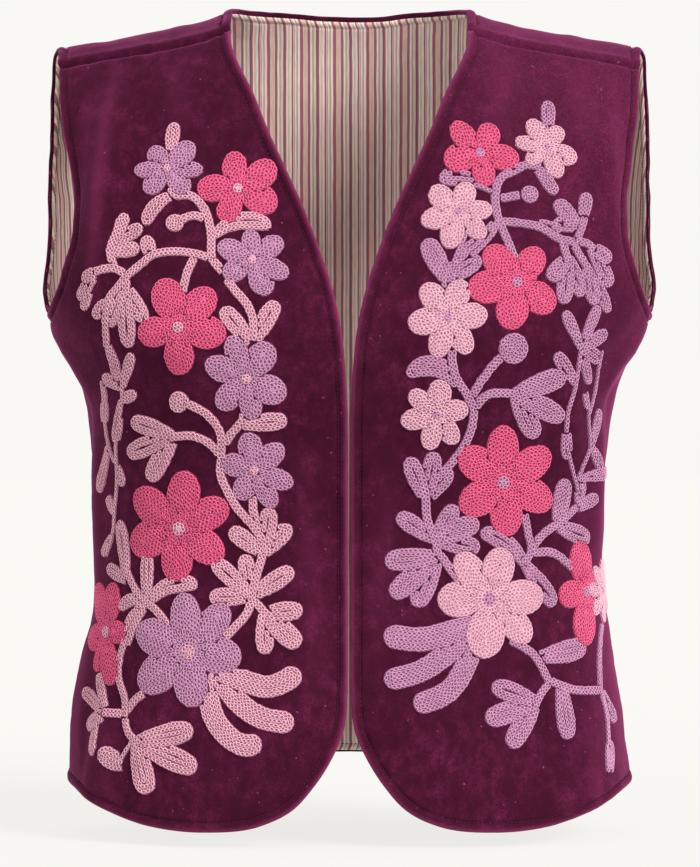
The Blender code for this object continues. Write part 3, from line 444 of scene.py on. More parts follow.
class Finish:
    """A material as it is built up: each step adds a node, fed with values or other nodes' outputs."""

    def __init__(self, name, looks):
        self.material = bpy.data.materials.new(name)
        self.material.use_nodes = True
        self.nodes = self.material.node_tree.nodes
        self.shader = self.nodes["Principled BSDF"]
        for socket, value in looks.items():
            self.feed(value, self.shader.inputs[socket])

    def feed(self, value, socket):
        if isinstance(value, bpy.types.NodeSocket):
            self.material.node_tree.links.new(value, socket)
        else:
            socket.default_value = (*value, 1) if socket.type == "RGBA" else value

    def add(self, kind, output, fed, **settings):
        """A new node's output: what each of its sockets is fed, by name or number, and its settings."""
        node = self.nodes.new("ShaderNode" + kind)
        for setting, value in settings.items():
            setattr(node, setting, value)
        for socket, value in fed.items():
            self.feed(value, node.inputs[socket])
        return node.outputs[output]

    def maths(self, operation, *fed):
        return self.add("Math", "Value", dict(enumerate(fed)), operation=operation)

    def noise(self, place, scale, detail=2.0, roughness=0.5, stretch=None):
        if stretch:
            place = self.add("Mapping", "Vector", {"Vector": place, "Scale": stretch})
        fed = {"Vector": place, "Scale": scale, "Detail": detail, "Roughness": roughness}
        return self.add("TexNoise", "Fac", fed)

    def steps(self, share, low, high):
        """0 up to the low end and 1 from the high one, with a smooth rise between them."""
        fed = {"Value": share, "From Min": low, "From Max": high}
        return self.add("MapRange", "Result", fed, interpolation_type="SMOOTHSTEP")

    def blend(self, low, high, share):
        """From one colour to another; a Mix node takes colours at its sockets 6 and 7."""
        return self.add("Mix", 2, {0: share, 6: low, 7: high}, data_type="RGBA")

    def ramp(self, share, stops, interpolation="LINEAR"):
        """A run of colours, each at its own place along the share."""
        ramp = self.nodes.new("ShaderNodeValToRGB")
        ramp.color_ramp.interpolation = interpolation
        made = ramp.color_ramp.elements
        for number, (start, colour) in enumerate(stops):
            stop = made[number] if number < 2 else made.new(start)
            stop.position = start
            stop.color = (*colour, 1)
        self.feed(share, ramp.inputs["Fac"])
        return ramp.outputs["Color"]

    def done(self, colour, grain, strength, depth):
        """Gives the surface its colour, and a grain that stands up by a depth."""
        bump = self.add("Bump", "Normal", {"Height": grain, "Strength": strength, "Distance": depth})
        self.feed(bump, self.shader.inputs["Normal"])
        self.feed(colour, self.shader.inputs["Base Color"])
        return self.material


PLUM = {  # the pile's colours: its ground, what brushing and wear bring up, what lies in it, then painted light on its lit side and painted highlights
    "ground": (0.041, 0.0032, 0.0160), "brushed": (0.065, 0.0060, 0.0262), "nap": (0.112, 0.0115, 0.046),
    "deepest": (0.022, 0.0015, 0.0080), "deep": (0.040, 0.0035, 0.0158),
    "painted_side_light": (0.122, 0.0150, 0.054), "pit": (0.014, 0.0010, 0.0052), "lint": (0.15, 0.035, 0.075),
    "crest": (0.175, 0.024, 0.078),
}
CLOUDS = {  # scale, detail, roughness and stretch downwards, then where each sets in and is full
    "brushed": (13, 2, 0.5, 0.55, 0.38, 0.68), "nap": (46, 4, 0.6, 1, 0.40, 0.94),
    "mottle": (125, 3, 0.65, 0.7, 0.36, 0.64), "grain": (640, 2, 0.7, 1, 0.36, 0.64),
    "lint": (420, 0, 0.5, 1, 0.84, 0.88),
}
MOTTLE_SHARE, LIT_SIDE_SHARE, PIT_SHARE = 0.75, 0.42, 0.5  # the most that each shows
LIT_SIDE_WAY, LIT_SIDE_FROM, LIT_SIDE_TO = (0.75, 0, 0.66), -0.08, 0.13  # painted light: paler up and to the wearer's left, the side the key light comes from


def velvet_finish():
    """Plum cotton velvet: a short pile that is dark head-on and pale where it turns away, with painted
    light that makes it paler up and to the wearer's left.
    """
    plum = Finish("plum_velvet", {
        "Roughness": 0.9, "Specular IOR Level": 0.04,
        "Sheen Weight": 0.5, "Sheen Roughness": 0.40, "Sheen Tint": (0.60, 0.115, 0.34),
    })
    place = plum.add("TexCoord", "Object", {})
    cloud = {
        name: plum.steps(plum.noise(place, scale, detail, roughness, (1, 1, stretch)), low, high)
        for name, (scale, detail, roughness, stretch, low, high) in CLOUDS.items()
    }
    ground = plum.blend(PLUM["ground"], PLUM["brushed"], cloud["brushed"])
    nap = plum.blend(ground, PLUM["nap"], cloud["nap"])
    deep = plum.blend(PLUM["deepest"], PLUM["deep"], cloud["grain"])
    tone = plum.blend(nap, plum.blend(nap, deep, cloud["mottle"]), MOTTLE_SHARE)
    # painted light: the pile is paler towards the top and the wearer's left, where the key light falls
    way = plum.add("VectorMath", "Value", {0: place, 1: LIT_SIDE_WAY}, operation="DOT_PRODUCT")
    lit_side = plum.maths("MULTIPLY", plum.steps(way, LIT_SIDE_FROM, LIT_SIDE_TO), LIT_SIDE_SHARE)
    tone = plum.blend(tone, PLUM["painted_side_light"], lit_side)
    tone = plum.blend(tone, PLUM["pit"], plum.maths("MULTIPLY", cloud["grain"], PIT_SHARE))
    tone = plum.blend(tone, PLUM["lint"], cloud["lint"])
    # painted highlights along folds and on the rolled edge
    crest = plum.add("Attribute", "Fac", {}, attribute_name="crest")
    pile = plum.noise(place, 620, 2, 0.65)
    return plum.done(plum.blend(tone, PLUM["crest"], crest), pile, 0.55, 0.6 * MM)


velvet = velvet_finish()
right_drape = Drape(FRONT, ACROSS_SHARES, FRONT_SPAN, RIGHT_FOLDS + FRONT_CREASES, side=-1, seed=41)
left_drape = Drape(FRONT, ACROSS_SHARES, FRONT_SPAN, LEFT_FOLDS + FRONT_CREASES, side=1, seed=43)
front_edges = front_cut(FRONT_EDGE_STEP)
front_net = net_of(joined(front_edges.values()), EDGE_RINGS, FRONT_NET_STEP)
front_free = away_from(front_net[0], runs_of(front_edges, FREE_EDGES))
for side_name, drape, crests, seed in (
    ("right", right_drape, RIGHT_HIGHLIGHTS, 3), ("left", left_drape, LEFT_HIGHLIGHTS, 8)
):
    face = velvet_face(front_net[0], front_edges, front_free, seed, FRONT_PUFF)
    piece = cloth_wall(
        f"velvet_front_{side_name}", drape, front_net, face, velvet_under(front_free), velvet
    )
    paint_highlights(piece, front_net[0], crests, front_free)
    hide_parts(f"front_{side_name}")
    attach(piece, "root")

# ---- Velvet back -------------------------------------------------------------------------------
# One piece of the same velvet, cut on the fold. Its shoulders run over the ridge and meet the fronts
# 48 mm lower, where the seam is eased in and so the back puffs out above it.
BACK_NECK = (
    (80, -SEAM_DOWN), (80, -20), (79, 0), (75, 10), (68, 21), (55, 35), (28, 50), (0, 55.5),
)
BACK_HEM = ((0, 549), (120, 550.5), (243, 556.9))
BACK_ARMHOLE = (
    (259.5, 237.8), (250, 224), (240, 204), (235, 187), (232, 158), (226, 124), (217, 88), (210, 55),
    (204, 25), (199.5, 2), (198, -20), (198, -SEAM_DOWN),
)
BACK_FOLDS = (
    (-208, 246, -150, 310, 14, 5.0), (208, 246, 150, 310, 14, 4.6), (-152, 300, -118, 470, 16, 4.0),
    (150, 310, 112, 480, 16, 4.2), (-192, 420, -204, 548, 14, 5.0), (196, 430, 206, 548, 14, 4.6),
    (-60, 390, -72, 542, 17, 4.4), (66, 400, 80, 542, 17, 4.0), (-60, 306, 60, 318, 14, -3.4),
    (-176, 50, -128, 190, 16, 3.4), (176, 50, 130, 190, 16, 3.2), (4, 410, -4, 542, 17, 2.8),
)
BACK_CREASES = (
    (-120, -40, -112, 10, 6, 0.8), (-160, -42, -168, 16, 6, -0.8), (112, -40, 118, 14, 6, -0.8),
    (152, -40, 150, 20, 6, 0.9), (-232, 250, -170, 280, 6, 1.4), (236, 252, 174, 286, 6, 1.3),
    (-100, 296, -30, 302, 6, -1.2), (34, 300, 108, 298, 6, -1.2), (-220, 460, -226, 545, 7, 1.2),
    (222, 440, 228, 545, 7, 1.2), (-30, 470, -36, 545, 8, 1.0), (38, 460, 36, 545, 8, 0.9),
)
BACK_SPAN = (-60, 565)
BACK_EDGE_STEP, BACK_NET_STEP = 3.5, 4.6


def back_cut(spacing):
    """The outline of the back's left half, from the middle of the hem to the middle of the neck."""
    drawn = {"neck": BACK_NECK, "hem": BACK_HEM, "armhole": BACK_ARMHOLE}
    order = ("hem", "side", "armhole", "shoulder", "neck")
    return cut_out(BACK, spacing, -SEAM_DOWN + SEAM_GAP / 2, drawn, order)


def unfolded(half_cut):
    """A half's runs and then their mirror images, in the order that closes the outline."""
    mirrored = {f"{name}-right": run[::-1] * (-1, 1) for name, run in reversed(half_cut.items())}
    return {**half_cut, **mirrored}


back_drape = Drape(BACK, np.linspace(-1, 1, 261), BACK_SPAN, BACK_FOLDS + BACK_CREASES, side=1, seed=45)
back_edges = back_cut(BACK_EDGE_STEP)
back_net = net_of(joined(unfolded(back_edges).values()), EDGE_RINGS, BACK_NET_STEP)
back_flat = np.c_[np.abs(back_net[0][:, 0]), back_net[0][:, 1]]  # as it lies on the fold
back_free = away_from(back_flat, runs_of(back_edges, FREE_EDGES))
back_face = velvet_face(back_flat, back_edges, back_free, 14, BACK_PUFF)
piece = cloth_wall("velvet_back", back_drape, back_net, back_face, velvet_under(back_free), velvet)
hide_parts("back")
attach(piece, "root")

# ---- Lining ------------------------------------------------------------------------------------
# A woven cotton stripe in stone, terracotta, charcoal and raspberry, cut like the velvet and bagged
# out with it. It stops just short of the edge, where the velvet turns over it, and the topstitching
# goes through it too and draws a line along every opening.
LINING_WALL = 1.0
LINING_INSETS = {"neck": 3.0, "centre": 1.6, "hem": 1.5, "armhole": 1.9, "side": 0.0}
SEAM_SHIFT = 0.6  # its shoulder seam lies this far behind the velvet's, so that no light comes through
LINING_BACK = -VELVET_WALL - GAP
LINING_FACE = LINING_BACK - LINING_WALL
LINING_STITCH_IN = STITCH_IN - 2.2  # from its own edge
LINING_RINGS = (0.5, 1.4, 3.2, 4.4, 5.2, 6.2, 8.0)
STRIPES = (  # width of each stripe in tenths of a millimetre, colour; they repeat
    (5, "raspberry"), (10, "cream"), (6, "salmon"), (8, "stone"), (13, "cream"), (5, "rust"),
    (5, "charcoal"), (7, "stone"), (6, "rose"), (9, "cream"), (6, "salmon"), (7, "grey"),
    (15, "cream"), (6, "raspberry"), (10, "charcoal"), (6, "raspberry"), (10, "stone"),
    (17, "salmon"), (6, "stone"), (12, "charcoal"), (6, "raspberry"), (11, "cream"), (4, "salmon"),
    (11, "grey"), (15, "sand"), (8, "plum"), (9, "charcoal"),
)
THREADS = {
    "cream": (0.665, 0.600, 0.525), "stone": (0.536, 0.462, 0.388), "grey": (0.37, 0.328, 0.309),
    "sand": (0.60, 0.49, 0.40), "salmon": (0.61, 0.37, 0.315), "rust": (0.332, 0.069, 0.074),
    "raspberry": (0.517, 0.055, 0.13), "rose": (0.609, 0.185, 0.315), "plum": (0.21, 0.062, 0.11),
    "charcoal": (0.155, 0.135, 0.145),
}
LINING_EDGE_STEP, LINING_NET_STEP = 4.0, 7.0
WAVER, WEFT_PITCH, WARP_PITCH = 0.5 * MM, 0.7 * MM, 0.6 * MM


def lining_finish():
    """Woven stripes that waver a little, in uneven yarns, with the weave standing up faintly."""
    stripe = Finish("striped_lining", {"Roughness": 0.85, "Specular IOR Level": 0.2, "Sheen Weight": 0.15})
    cloth = stripe.add("UVMap", "UV", {}, uv_map="cloth")
    across, down = (stripe.add("SeparateXYZ", way, {"Vector": cloth}) for way in "XY")
    repeat = sum(width for width, _ in STRIPES) * 0.1 * MM
    strayed = stripe.maths("ADD", across, stripe.maths("MULTIPLY", stripe.noise(cloth, 60), WAVER))
    share = stripe.maths("FRACT", stripe.maths("DIVIDE", stripe.maths("ADD", strayed, 1.0), repeat))
    starts = np.cumsum([0, *(width for width, _ in STRIPES)]) * 0.1 * MM / repeat
    stops = [(start, THREADS[thread]) for start, (_, thread) in zip(starts, STRIPES)]
    weft = stripe.maths("SINE", stripe.maths("MULTIPLY", down, math.tau / WEFT_PITCH))
    warp = stripe.maths("SINE", stripe.maths("MULTIPLY", across, math.tau / WARP_PITCH))
    slub = stripe.noise(cloth, 900, stretch=(1, 0.12, 1))
    shade = stripe.maths("ADD", stripe.maths("MULTIPLY", slub, 0.5), 0.75)
    dyed = stripe.ramp(share, stops, "CONSTANT")
    tint = stripe.add("VectorMath", "Vector", {0: dyed, "Scale": shade}, operation="SCALE")
    return stripe.done(tint, stripe.maths("MULTIPLY", weft, warp), 0.35, 0.3 * MM)


def owners_of(edges):
    """The name of the run that each of the outline's points lies on."""
    return np.array([name.split("-")[0] for name, run in edges.items() for _ in run[:-1]])


def drawn_in(edges, shift):
    """The outline of the lining: the velvet's, drawn in along its free edges."""
    outline = joined(edges.values())
    by_name = {**LINING_INSETS, "shoulder": shift}
    insets = np.array([by_name[name] for name in owners_of(edges)])
    corner = np.roll(insets, 1)
    insets = np.where(np.minimum(insets, corner) == 0, 0, (insets + corner) / 2)
    return outline + inward_of(outline) * insets[:, None]


def lining_wall(name, drape, edges, seed, slot_node):
    """One piece of the lining, which swells to its stitched edge and turns up into the velvet there."""
    outline = drawn_in(edges, SEAM_SHIFT if name.endswith("back") else -SEAM_SHIFT)
    net = net_of(outline, LINING_RINGS, LINING_NET_STEP)
    flat = net[0]
    away, seam = away_from(flat, closed(outline)), away_from(flat, runs_of(edges, SEWN_EDGES))
    free = np.where(seam < away + 2 * SEAM_SHIFT, 99.0, away)
    swell = 0.5 * np.sin(math.pi * (free / LINING_STITCH_IN).clip(0, 1))
    swell -= 0.7 * near(free - LINING_STITCH_IN, 0.6)
    inner = LINING_FACE - swell + 0.7 * near(free, 0.7) + 0.6 * near(seam, 1.4)
    rumple = 0.35 * unevenness(flat, 18, seed) + 0.25 * unevenness(flat, 7, seed + 1)
    inner -= rumple * ease(away / 12)
    turned = np.where(free < LINING_STITCH_IN, (LINING_STITCH_IN - free) * 0.45, 0)
    woven = np.c_[flat[:, 0] + turned, flat[:, 1]]
    piece = cloth_wall(name, drape, net, LINING_BACK, inner, striped, woven)
    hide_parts(slot_node)
    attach(piece, "root")


striped = lining_finish()
for side_name, drape, seed in (("right", right_drape, 21), ("left", left_drape, 22)):
    lining_wall(
        f"striped_lining_front_{side_name}", drape, front_cut(LINING_EDGE_STEP), seed,
        f"lining_front_{side_name}",
    )
lining_wall(
    "striped_lining_back", back_drape, unfolded(back_cut(LINING_EDGE_STEP)), 23,
    "lining_back",
)

# ---- Topstitching ------------------------------------------------------------------------------
# One row of plum sewing thread along every free edge, through velvet and lining, worked by machine
# with about three stitches to the centimetre.
STITCH_PITCH = 3.0
STITCH_HEIGHTS = (-0.32, LINING_FACE + 0.05)  # it shows on the velvet, and inside on the lining


def taken(model):
    """A modelled shape's points and faces; the model itself is thrown away."""
    points = np.array([v.co for v in model.data.vertices], float)
    faces = np.array([p.vertices[:] for p in model.data.polygons])
    bpy.data.objects.remove(model, do_unlink=True)
    return points, faces


def shape_stitch():
    """One machine stitch: a short thread that dives into the cloth at both ends."""
    bpy.ops.object.select_all(action="DESELECT")
    bpy.ops.mesh.primitive_uv_sphere_add(segments=5, ring_count=4, radius=0.5)
    bpy.ops.object.mode_set(mode="EDIT")
    bpy.ops.mesh.select_all(action="SELECT")
    bpy.ops.transform.rotate(value=math.pi / 2, orient_axis="Y", center_override=(0, 0, 0))
    bpy.ops.transform.resize(value=(2.5, 0.55, 0.42))
    bpy.ops.mesh.quads_convert_to_tris()
    bpy.ops.object.mode_set(mode="OBJECT")
    points, faces = taken(bpy.context.object)
    return points, faces[np.lexsort(faces.T)]  # in one order, because the last operator keeps none


def repeated(shape, places, drape):
    """Copies of one small shape at places (across, down, direction, height, size), laid on the cloth."""
    points, faces = shape
    across, down, angle, height, size = np.array(places).T[:, :, None]
    x, y, z = points.T[:, None, :]
    flat = np.stack([
        across + size * (x * np.cos(angle) - y * np.sin(angle)),
        down + size * (x * np.sin(angle) + y * np.cos(angle)),
    ], axis=-1)
    laid = drape.lay(flat.reshape(-1, 2), (z * size + height).reshape(-1))
    copies = (faces[None] + np.arange(len(places))[:, None, None] * len(points)).reshape(-1, 3)
    return laid, copies[:, ::-1] if drape.side < 0 else copies


def thread_finish():
    sewing = Finish("plum_thread", {"Roughness": 0.8, "Specular IOR Level": 0.15})
    lustre = sewing.noise(sewing.add("TexCoord", "Object", {}), 400)
    twist = sewing.ramp(lustre, ((0, (0.030, 0.0040, 0.014)), (1, (0.085, 0.012, 0.038))))
    sewing.feed(twist, sewing.shader.inputs["Base Color"])
    return sewing.material


def stitched_along(edges):
    """Where the stitches lie: a run at the stitching distance inside every free edge."""
    outline = joined(edges.values())
    line = outline + inward_of(outline) * STITCH_IN
    keep = np.isin(owners_of(edges), FREE_EDGES)
    keep &= away_from(line, runs_of(edges, FREE_EDGES)) > STITCH_IN * CORNER_CLEAR
    places = []
    for a, b, kept, kept_next in zip(line, np.roll(line, -1, axis=0), keep, np.roll(keep, -1)):
        if kept and kept_next and 0.5 < math.hypot(*(b - a)) < 8:
            places.append((*((a + b) / 2), math.atan2(b[1] - a[1], b[0] - a[0])))
    return places


stitch_shape = shape_stitch()
thread = thread_finish()
for piece_name, drape, edges in (
    ("topstitching_front_right", right_drape, front_cut(STITCH_PITCH)),
    ("topstitching_front_left", left_drape, front_cut(STITCH_PITCH)),
    ("topstitching_back", back_drape, unfolded(back_cut(STITCH_PITCH))),
):
    spots = stitched_along(edges)
    places = [(*spot, height, 1.0) for height in STITCH_HEIGHTS for spot in spots]
    piece = mesh_piece(piece_name, *repeated(stitch_shape, places, drape), thread)
    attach(piece, "root")

# ---- Wool embroidery ---------------------------------------------------------------------------
# Soft two-ply wool in chain stitch, worked by hand through the velvet before the fronts were made up:
# flowers filled with rows that follow each petal's edge, on stems of one or two rows, with leaves, buds
# and long fringed tails. The wearer's right front has pink stems, and the left front lilac ones.
ROW_WIDTH, PETAL_ROW, STEM_ROW = 2.7, 2.5, 2.5  # from row to row
LINK_PITCH, SPINE_PITCH = 3.0, 4.0
LEAF_EASE = 0.8  # a leaf is worked this much over its drawn size
PETAL_BODY, PETAL_CAP = 0.58, 0.42  # shares of a petal's length
PETAL_ROOM, PETAL_WIDEST = 0.52, 0.335  # its half width: of the room it is left, and at most of its length
NEIGHBOURS_OFF = 144  # degrees to a petal's two neighbours, which count up to this
HEART_REACH, HEART_EASE, HEART_ROW = 0.1, 0.3, 2.1  # share of the longest petal, and what is added
BIG_FLOWER, COLLAR, COLLAR_ROW = 30, 2.0, 2.3  # with longer petals, one more ring lies round the heart
PETALS_OFF, RAY_REACH = 0.6, 0.24  # where the petals start outside the heart, and how far rays fill in
RIGHT_FLOWERS = (  # across, down, yarn, then each petal's direction and length
    (120, 146, "lilac", (0, 23), (55, 20), (135, 24), (185, 24), (232, 22), (312, 22)),
    (73, 162, "raspberry", (4, 27), (80, 24), (153, 28), (206, 28), (293, 24)),
    (63, 210, "lilac", (25, 25), (85, 21), (143, 24), (205, 26), (248, 26), (328, 22)),
    (112, 255, "raspberry", (70, 34), (133, 34), (190, 32), (270, 31), (350, 29)),
    (67, 289, "lilac", (23, 29), (70, 30), (125, 28), (205, 28), (260, 27), (315, 27)),
    (62, 350, "lilac", (15, 23), (80, 26), (138, 25), (200, 27), (242, 28), (300, 22)),
    (114, 389, "raspberry", (35, 42), (98, 39), (154, 38), (212, 36), (275, 35), (343, 41)),
    (107, 470, "lilac", (20, 42), (84, 39), (131, 41), (185, 36), (265, 36), (327, 44)),
    (178, 459, "raspberry", (60, 36), (104, 34), (178, 22), (255, 36), (293, 29), (345, 28)),
)
RIGHT_STEMS = (  # rows of stitch, then the places it runs through
    (2, (120, 152), (114, 165), (105, 165), (95, 175), (91, 188), (90, 209)),
    (2, (90, 209), (83, 218), (75, 230), (66, 241), (62, 252), (63, 264)),
    (2, (93, 182), (102, 179), (113, 183)),
    (1, (70, 168), (73, 184)),
    (2, (90, 209), (100, 206), (115, 204), (129, 206), (140, 214), (148, 220)),
    (2, (148, 220), (157, 215), (172, 217)),
    (2, (157, 216), (160, 202), (155, 190)),
    (2, (148, 220), (155, 228), (163, 237), (165, 248), (167, 267)),
    (2, (148, 218), (149, 232)),
    (2, (99, 204), (106, 218), (110, 234)),
    (1, (157, 290), (158, 304), (166, 334), (167, 364), (170, 379), (174, 396), (182, 408)),
    (1, (178, 290), (177, 316), (174, 334), (166, 350)),
    (2, (111, 303), (93, 313), (85, 324), (84, 342)),
    (2, (84, 341), (92, 332), (104, 327), (120, 328)),
    (2, (83, 334), (76, 324), (70, 317), (70, 300)),
    (2, (84, 340), (85, 352), (80, 364), (73, 376), (63, 387), (57, 396), (56, 405)),
    (2, (62, 358), (63, 376), (59, 392)),
    (2, (56, 403), (59, 414), (62, 424), (64, 437)),
    (2, (64, 435), (67, 444), (74, 452), (84, 462)),
    (2, (64, 434), (54, 445)),
    (2, (139, 438), (132, 443), (122, 453)),
    (2, (139, 438), (149, 429), (156, 418)),
    (2, (156, 461), (161, 476), (162, 488), (156, 503), (156, 514)),
    (2, (156, 512), (148, 503), (138, 497), (124, 490)),
    (2, (156, 512), (174, 512)),
    (2, (156, 510), (153, 523), (142, 532)),
    (1, (149, 530), (158, 542)),
)
RIGHT_SPRAYS = (  # across and down of the base, then each leaf: direction, length, width, any bend
    (118, 134, (97, 20, 8)),
    (115, 164, (315, 29, 8, 4)),
    (89, 193, (170, 38, 10, -7)),
    (131, 208, (75, 15, 9)),
    (157, 197, (112, 21, 6), (150, 22, 8)),
    (158, 204, (170, 18, 9)),
    (169, 216, (335, 15, 7), (315, 27, 7)),
    (175, 222, (295, 22, 6)),
    (164, 237, (315, 15, 8)),
    (149, 227, (298, 30, 9), (270, 40, 10), (240, 27, 9)),
    (63, 266, (50, 30, 10), (120, 31, 10)),
    (167, 263, (255, 27, 7)),
    (157, 294, (20, 20, 7), (115, 24, 6)),
    (158, 302, (165, 13, 7), (285, 31, 7)),
    (177, 292, (270, 27, 7)),
    (175, 334, (295, 34, 7)),
    (166, 347, (245, 15, 7)),
    (170, 380, (55, 14, 7)),
    (174, 395, (315, 18, 6)),
    (156, 424, (78, 40, 9), (20, 24, 8)),
    (117, 327, (18, 34, 10), (342, 39, 11), (303, 35, 12)),
    (70, 319, (175, 29, 10)),
    (56, 405, (35, 27, 10), (98, 30, 10), (133, 25, 10)),
    (64, 433, (42, 34, 10), (80, 27, 9), (147, 32, 10), (358, 28, 10)),
    (56, 444, (175, 25, 11), (222, 31, 12), (268, 26, 10)),
    (139, 439, (90, 34, 8), (160, 40, 9, -6), (350, 24, 7, 5), (302, 33, 9, 4)),
    (171, 512, (62, 28, 7), (22, 33, 8), (335, 25, 9)),
    (180, 517, (280, 24, 7)),
    (145, 530, (167, 42, 12), (200, 46, 13), (255, 34, 14)),
    (155, 546, (20, 21, 12)),
)
RIGHT_BUDS = ((115, 184, 6), (113, 304, 7))  # across, down, radius
RIGHT_TAILS = (  # width, then the places it runs through
    (14, (88, 484), (70, 488), (53, 492), (40, 487), (32, 480)),
    (14, (88, 486), (74, 501), (60, 511), (35, 516)),
    (14, (91, 484), (91, 507), (82, 522), (70, 530), (56, 528)),
)
LEFT_FLOWERS = (
    (86, 138, "raspberry", (65, 22), (140, 24), (200, 25), (280, 22), (355, 26)),
    (131, 129, "pale_pink", (58, 18), (122, 22), (175, 22), (225, 19), (290, 24), (335, 22)),
    (71, 177, "pale_pink", (5, 23), (68, 21), (140, 23), (197, 25), (255, 26), (315, 25)),
    (110, 225, "raspberry", (55, 28), (130, 31), (190, 33), (260, 32), (325, 31)),
    (64, 249, "pale_pink", (5, 26), (68, 27), (125, 27), (190, 26), (253, 27), (302, 27)),
    (57, 312, "pale_pink", (10, 21), (83, 23), (140, 23), (195, 24), (257, 25), (303, 24)),
    (102, 358, "raspberry", (30, 40), (90, 38), (145, 36), (213, 34), (277, 36), (338, 40)),
    (93, 435, "pale_pink", (2, 39), (73, 35), (126, 37), (180, 35), (263, 39), (316, 40)),
    (198, 432, "pale_pink", (30, 22), (88, 22), (135, 23), (176, 24), (222, 23), (272, 22), (330, 22)),
    (172, 432, "raspberry", (105, 35), (184, 27), (264, 36)),
)
LEFT_STEMS = (
    (2, (96, 164), (99, 154), (107, 149), (119, 143), (126, 145)),
    (2, (96, 162), (96, 172), (98, 183)),
    (2, (97, 168), (106, 166), (118, 164)),
    (2, (98, 183), (110, 184), (126, 187), (140, 195), (150, 197)),
    (2, (157, 180), (154, 191), (149, 199)),
    (2, (141, 195), (146, 211)),
    (2, (149, 197), (156, 209), (164, 220)),
    (2, (149, 197), (158, 197), (165, 202)),
    (1, (77, 190), (68, 212)),
    (2, (98, 183), (103, 195), (110, 212)),
    (2, (76, 205), (63, 220), (63, 232)),
    (2, (67, 265), (67, 279), (70, 289), (76, 298), (82, 309)),
    (2, (79, 302), (87, 289), (95, 279), (104, 271)),
    (2, (81, 309), (91, 299), (99, 298), (112, 299)),
    (2, (82, 307), (80, 322), (75, 334), (66, 346), (57, 356)),
    (2, (50, 368), (51, 382), (56, 396), (58, 406)),
    (2, (58, 403), (64, 412), (74, 425)),
    (2, (118, 380), (121, 394), (123, 404), (117, 412)),
    (2, (123, 402), (133, 392), (146, 385), (162, 375)),
    (2, (122, 405), (139, 405), (159, 417)),
    (1, (157, 265), (156, 277), (153, 296), (149, 308), (148, 324)),
    (1, (150, 336), (158, 354), (163, 366)),
    (1, (178, 270), (176, 299), (170, 312)),
    (1, (167, 297), (171, 319), (174, 334), (167, 347), (160, 360)),
    (1, (160, 357), (190, 356)),
    (2, (108, 462), (124, 472), (131, 482), (136, 491)),
    (2, (135, 489), (145, 493), (156, 496), (183, 498)),
    (2, (137, 490), (130, 497), (125, 506)),
    (2, (193, 455), (186, 474), (182, 500)),
    (2, (183, 498), (190, 515), (189, 535)),
)
LEFT_SPRAYS = (
    (132, 117, (90, 22, 8)),
    (123, 143, (305, 24, 7)),
    (97, 163, (170, 38, 10, -6)),
    (98, 182, (225, 36, 8, 2)),
    (141, 188, (172, 19, 7)),
    (153, 187, (130, 24, 10), (170, 18, 8)),
    (156, 182, (82, 20, 8)),
    (146, 207, (230, 21, 11), (263, 32, 10), (290, 28, 9)),
    (159, 211, (285, 29, 10)),
    (163, 217, (300, 31, 7)),
    (162, 200, (330, 18, 9), (303, 31, 10)),
    (63, 224, (115, 30, 12), (35, 27, 11)),
    (70, 292, (168, 33, 12, -9)),
    (109, 299, (20, 38, 12), (337, 39, 12), (300, 33, 13)),
    (50, 370, (112, 30, 10), (80, 32, 10), (52, 26, 10)),
    (56, 396, (146, 29, 10), (58, 26, 10), (22, 31, 12), (350, 30, 11)),
    (58, 407, (185, 34, 12), (220, 39, 12), (246, 35, 12)),
    (118, 412, (145, 37, 10, -4), (310, 36, 11)),
    (143, 388, (76, 32, 12), (345, 34, 11)),
    (163, 376, (80, 19, 9), (20, 22, 8)),
    (162, 357, (10, 36, 6)),
    (157, 268, (120, 27, 6), (66, 30, 6), (25, 24, 8), (340, 22, 8), (297, 26, 7)),
    (154, 291, (130, 25, 8)),
    (148, 321, (275, 21, 7)),
    (171, 313, (110, 17, 6)),
    (175, 334, (68, 27, 7), (308, 18, 8)),
    (128, 474, (8, 40, 12)),
    (145, 491, (278, 37, 12)),
    (126, 503, (160, 33, 11), (197, 37, 12), (236, 34, 12)),
    (181, 495, (310, 32, 8)),
    (187, 553, (78, 22, 12)),
)
LEFT_BUDS = ((119, 164, 6), (108, 269, 10))
LEFT_TAILS = (
    (15, (84, 449), (62, 458), (46, 461), (22, 458)),
    (14, (84, 451), (62, 472), (46, 482), (22, 488)),
    (14, (84, 452), (77, 477), (66, 494), (41, 505)),
)
YARNS = {  # the strand's darker and lighter tones, then the fuzz in the gaps between strands, darker than the strand as painted shade between the rows
    "pink": ((0.52, 0.25, 0.33), (0.61, 0.338, 0.416), (0.37, 0.145, 0.212)),
    "pale_pink": ((0.53, 0.272, 0.355), (0.635, 0.367, 0.443), (0.45, 0.205, 0.285)),
    "lilac": ((0.37, 0.166, 0.29), (0.48, 0.243, 0.377), (0.26, 0.099, 0.178)),
    "raspberry": ((0.52, 0.073, 0.166), (0.61, 0.108, 0.216), (0.37, 0.040, 0.10)),
}
FUZZ = (  # a soft plate of loose fibres under each link
    (-1.7, -1.7, -0.52), (-1.7, 0, -0.26), (-1.7, 1.7, -0.52),
    (1.7, -1.7, -0.62), (1.7, 0, -0.36), (1.7, 1.7, -0.62),
)
FUZZ_FACES = ((0, 3, 4), (0, 4, 1), (1, 4, 5), (1, 5, 2))
LINK_LIFT = 0.55  # a link's middle over the velvet
STRAY = (0.09, 0.09, 0.08, 0.04)  # how much links differ: across, down, direction, size


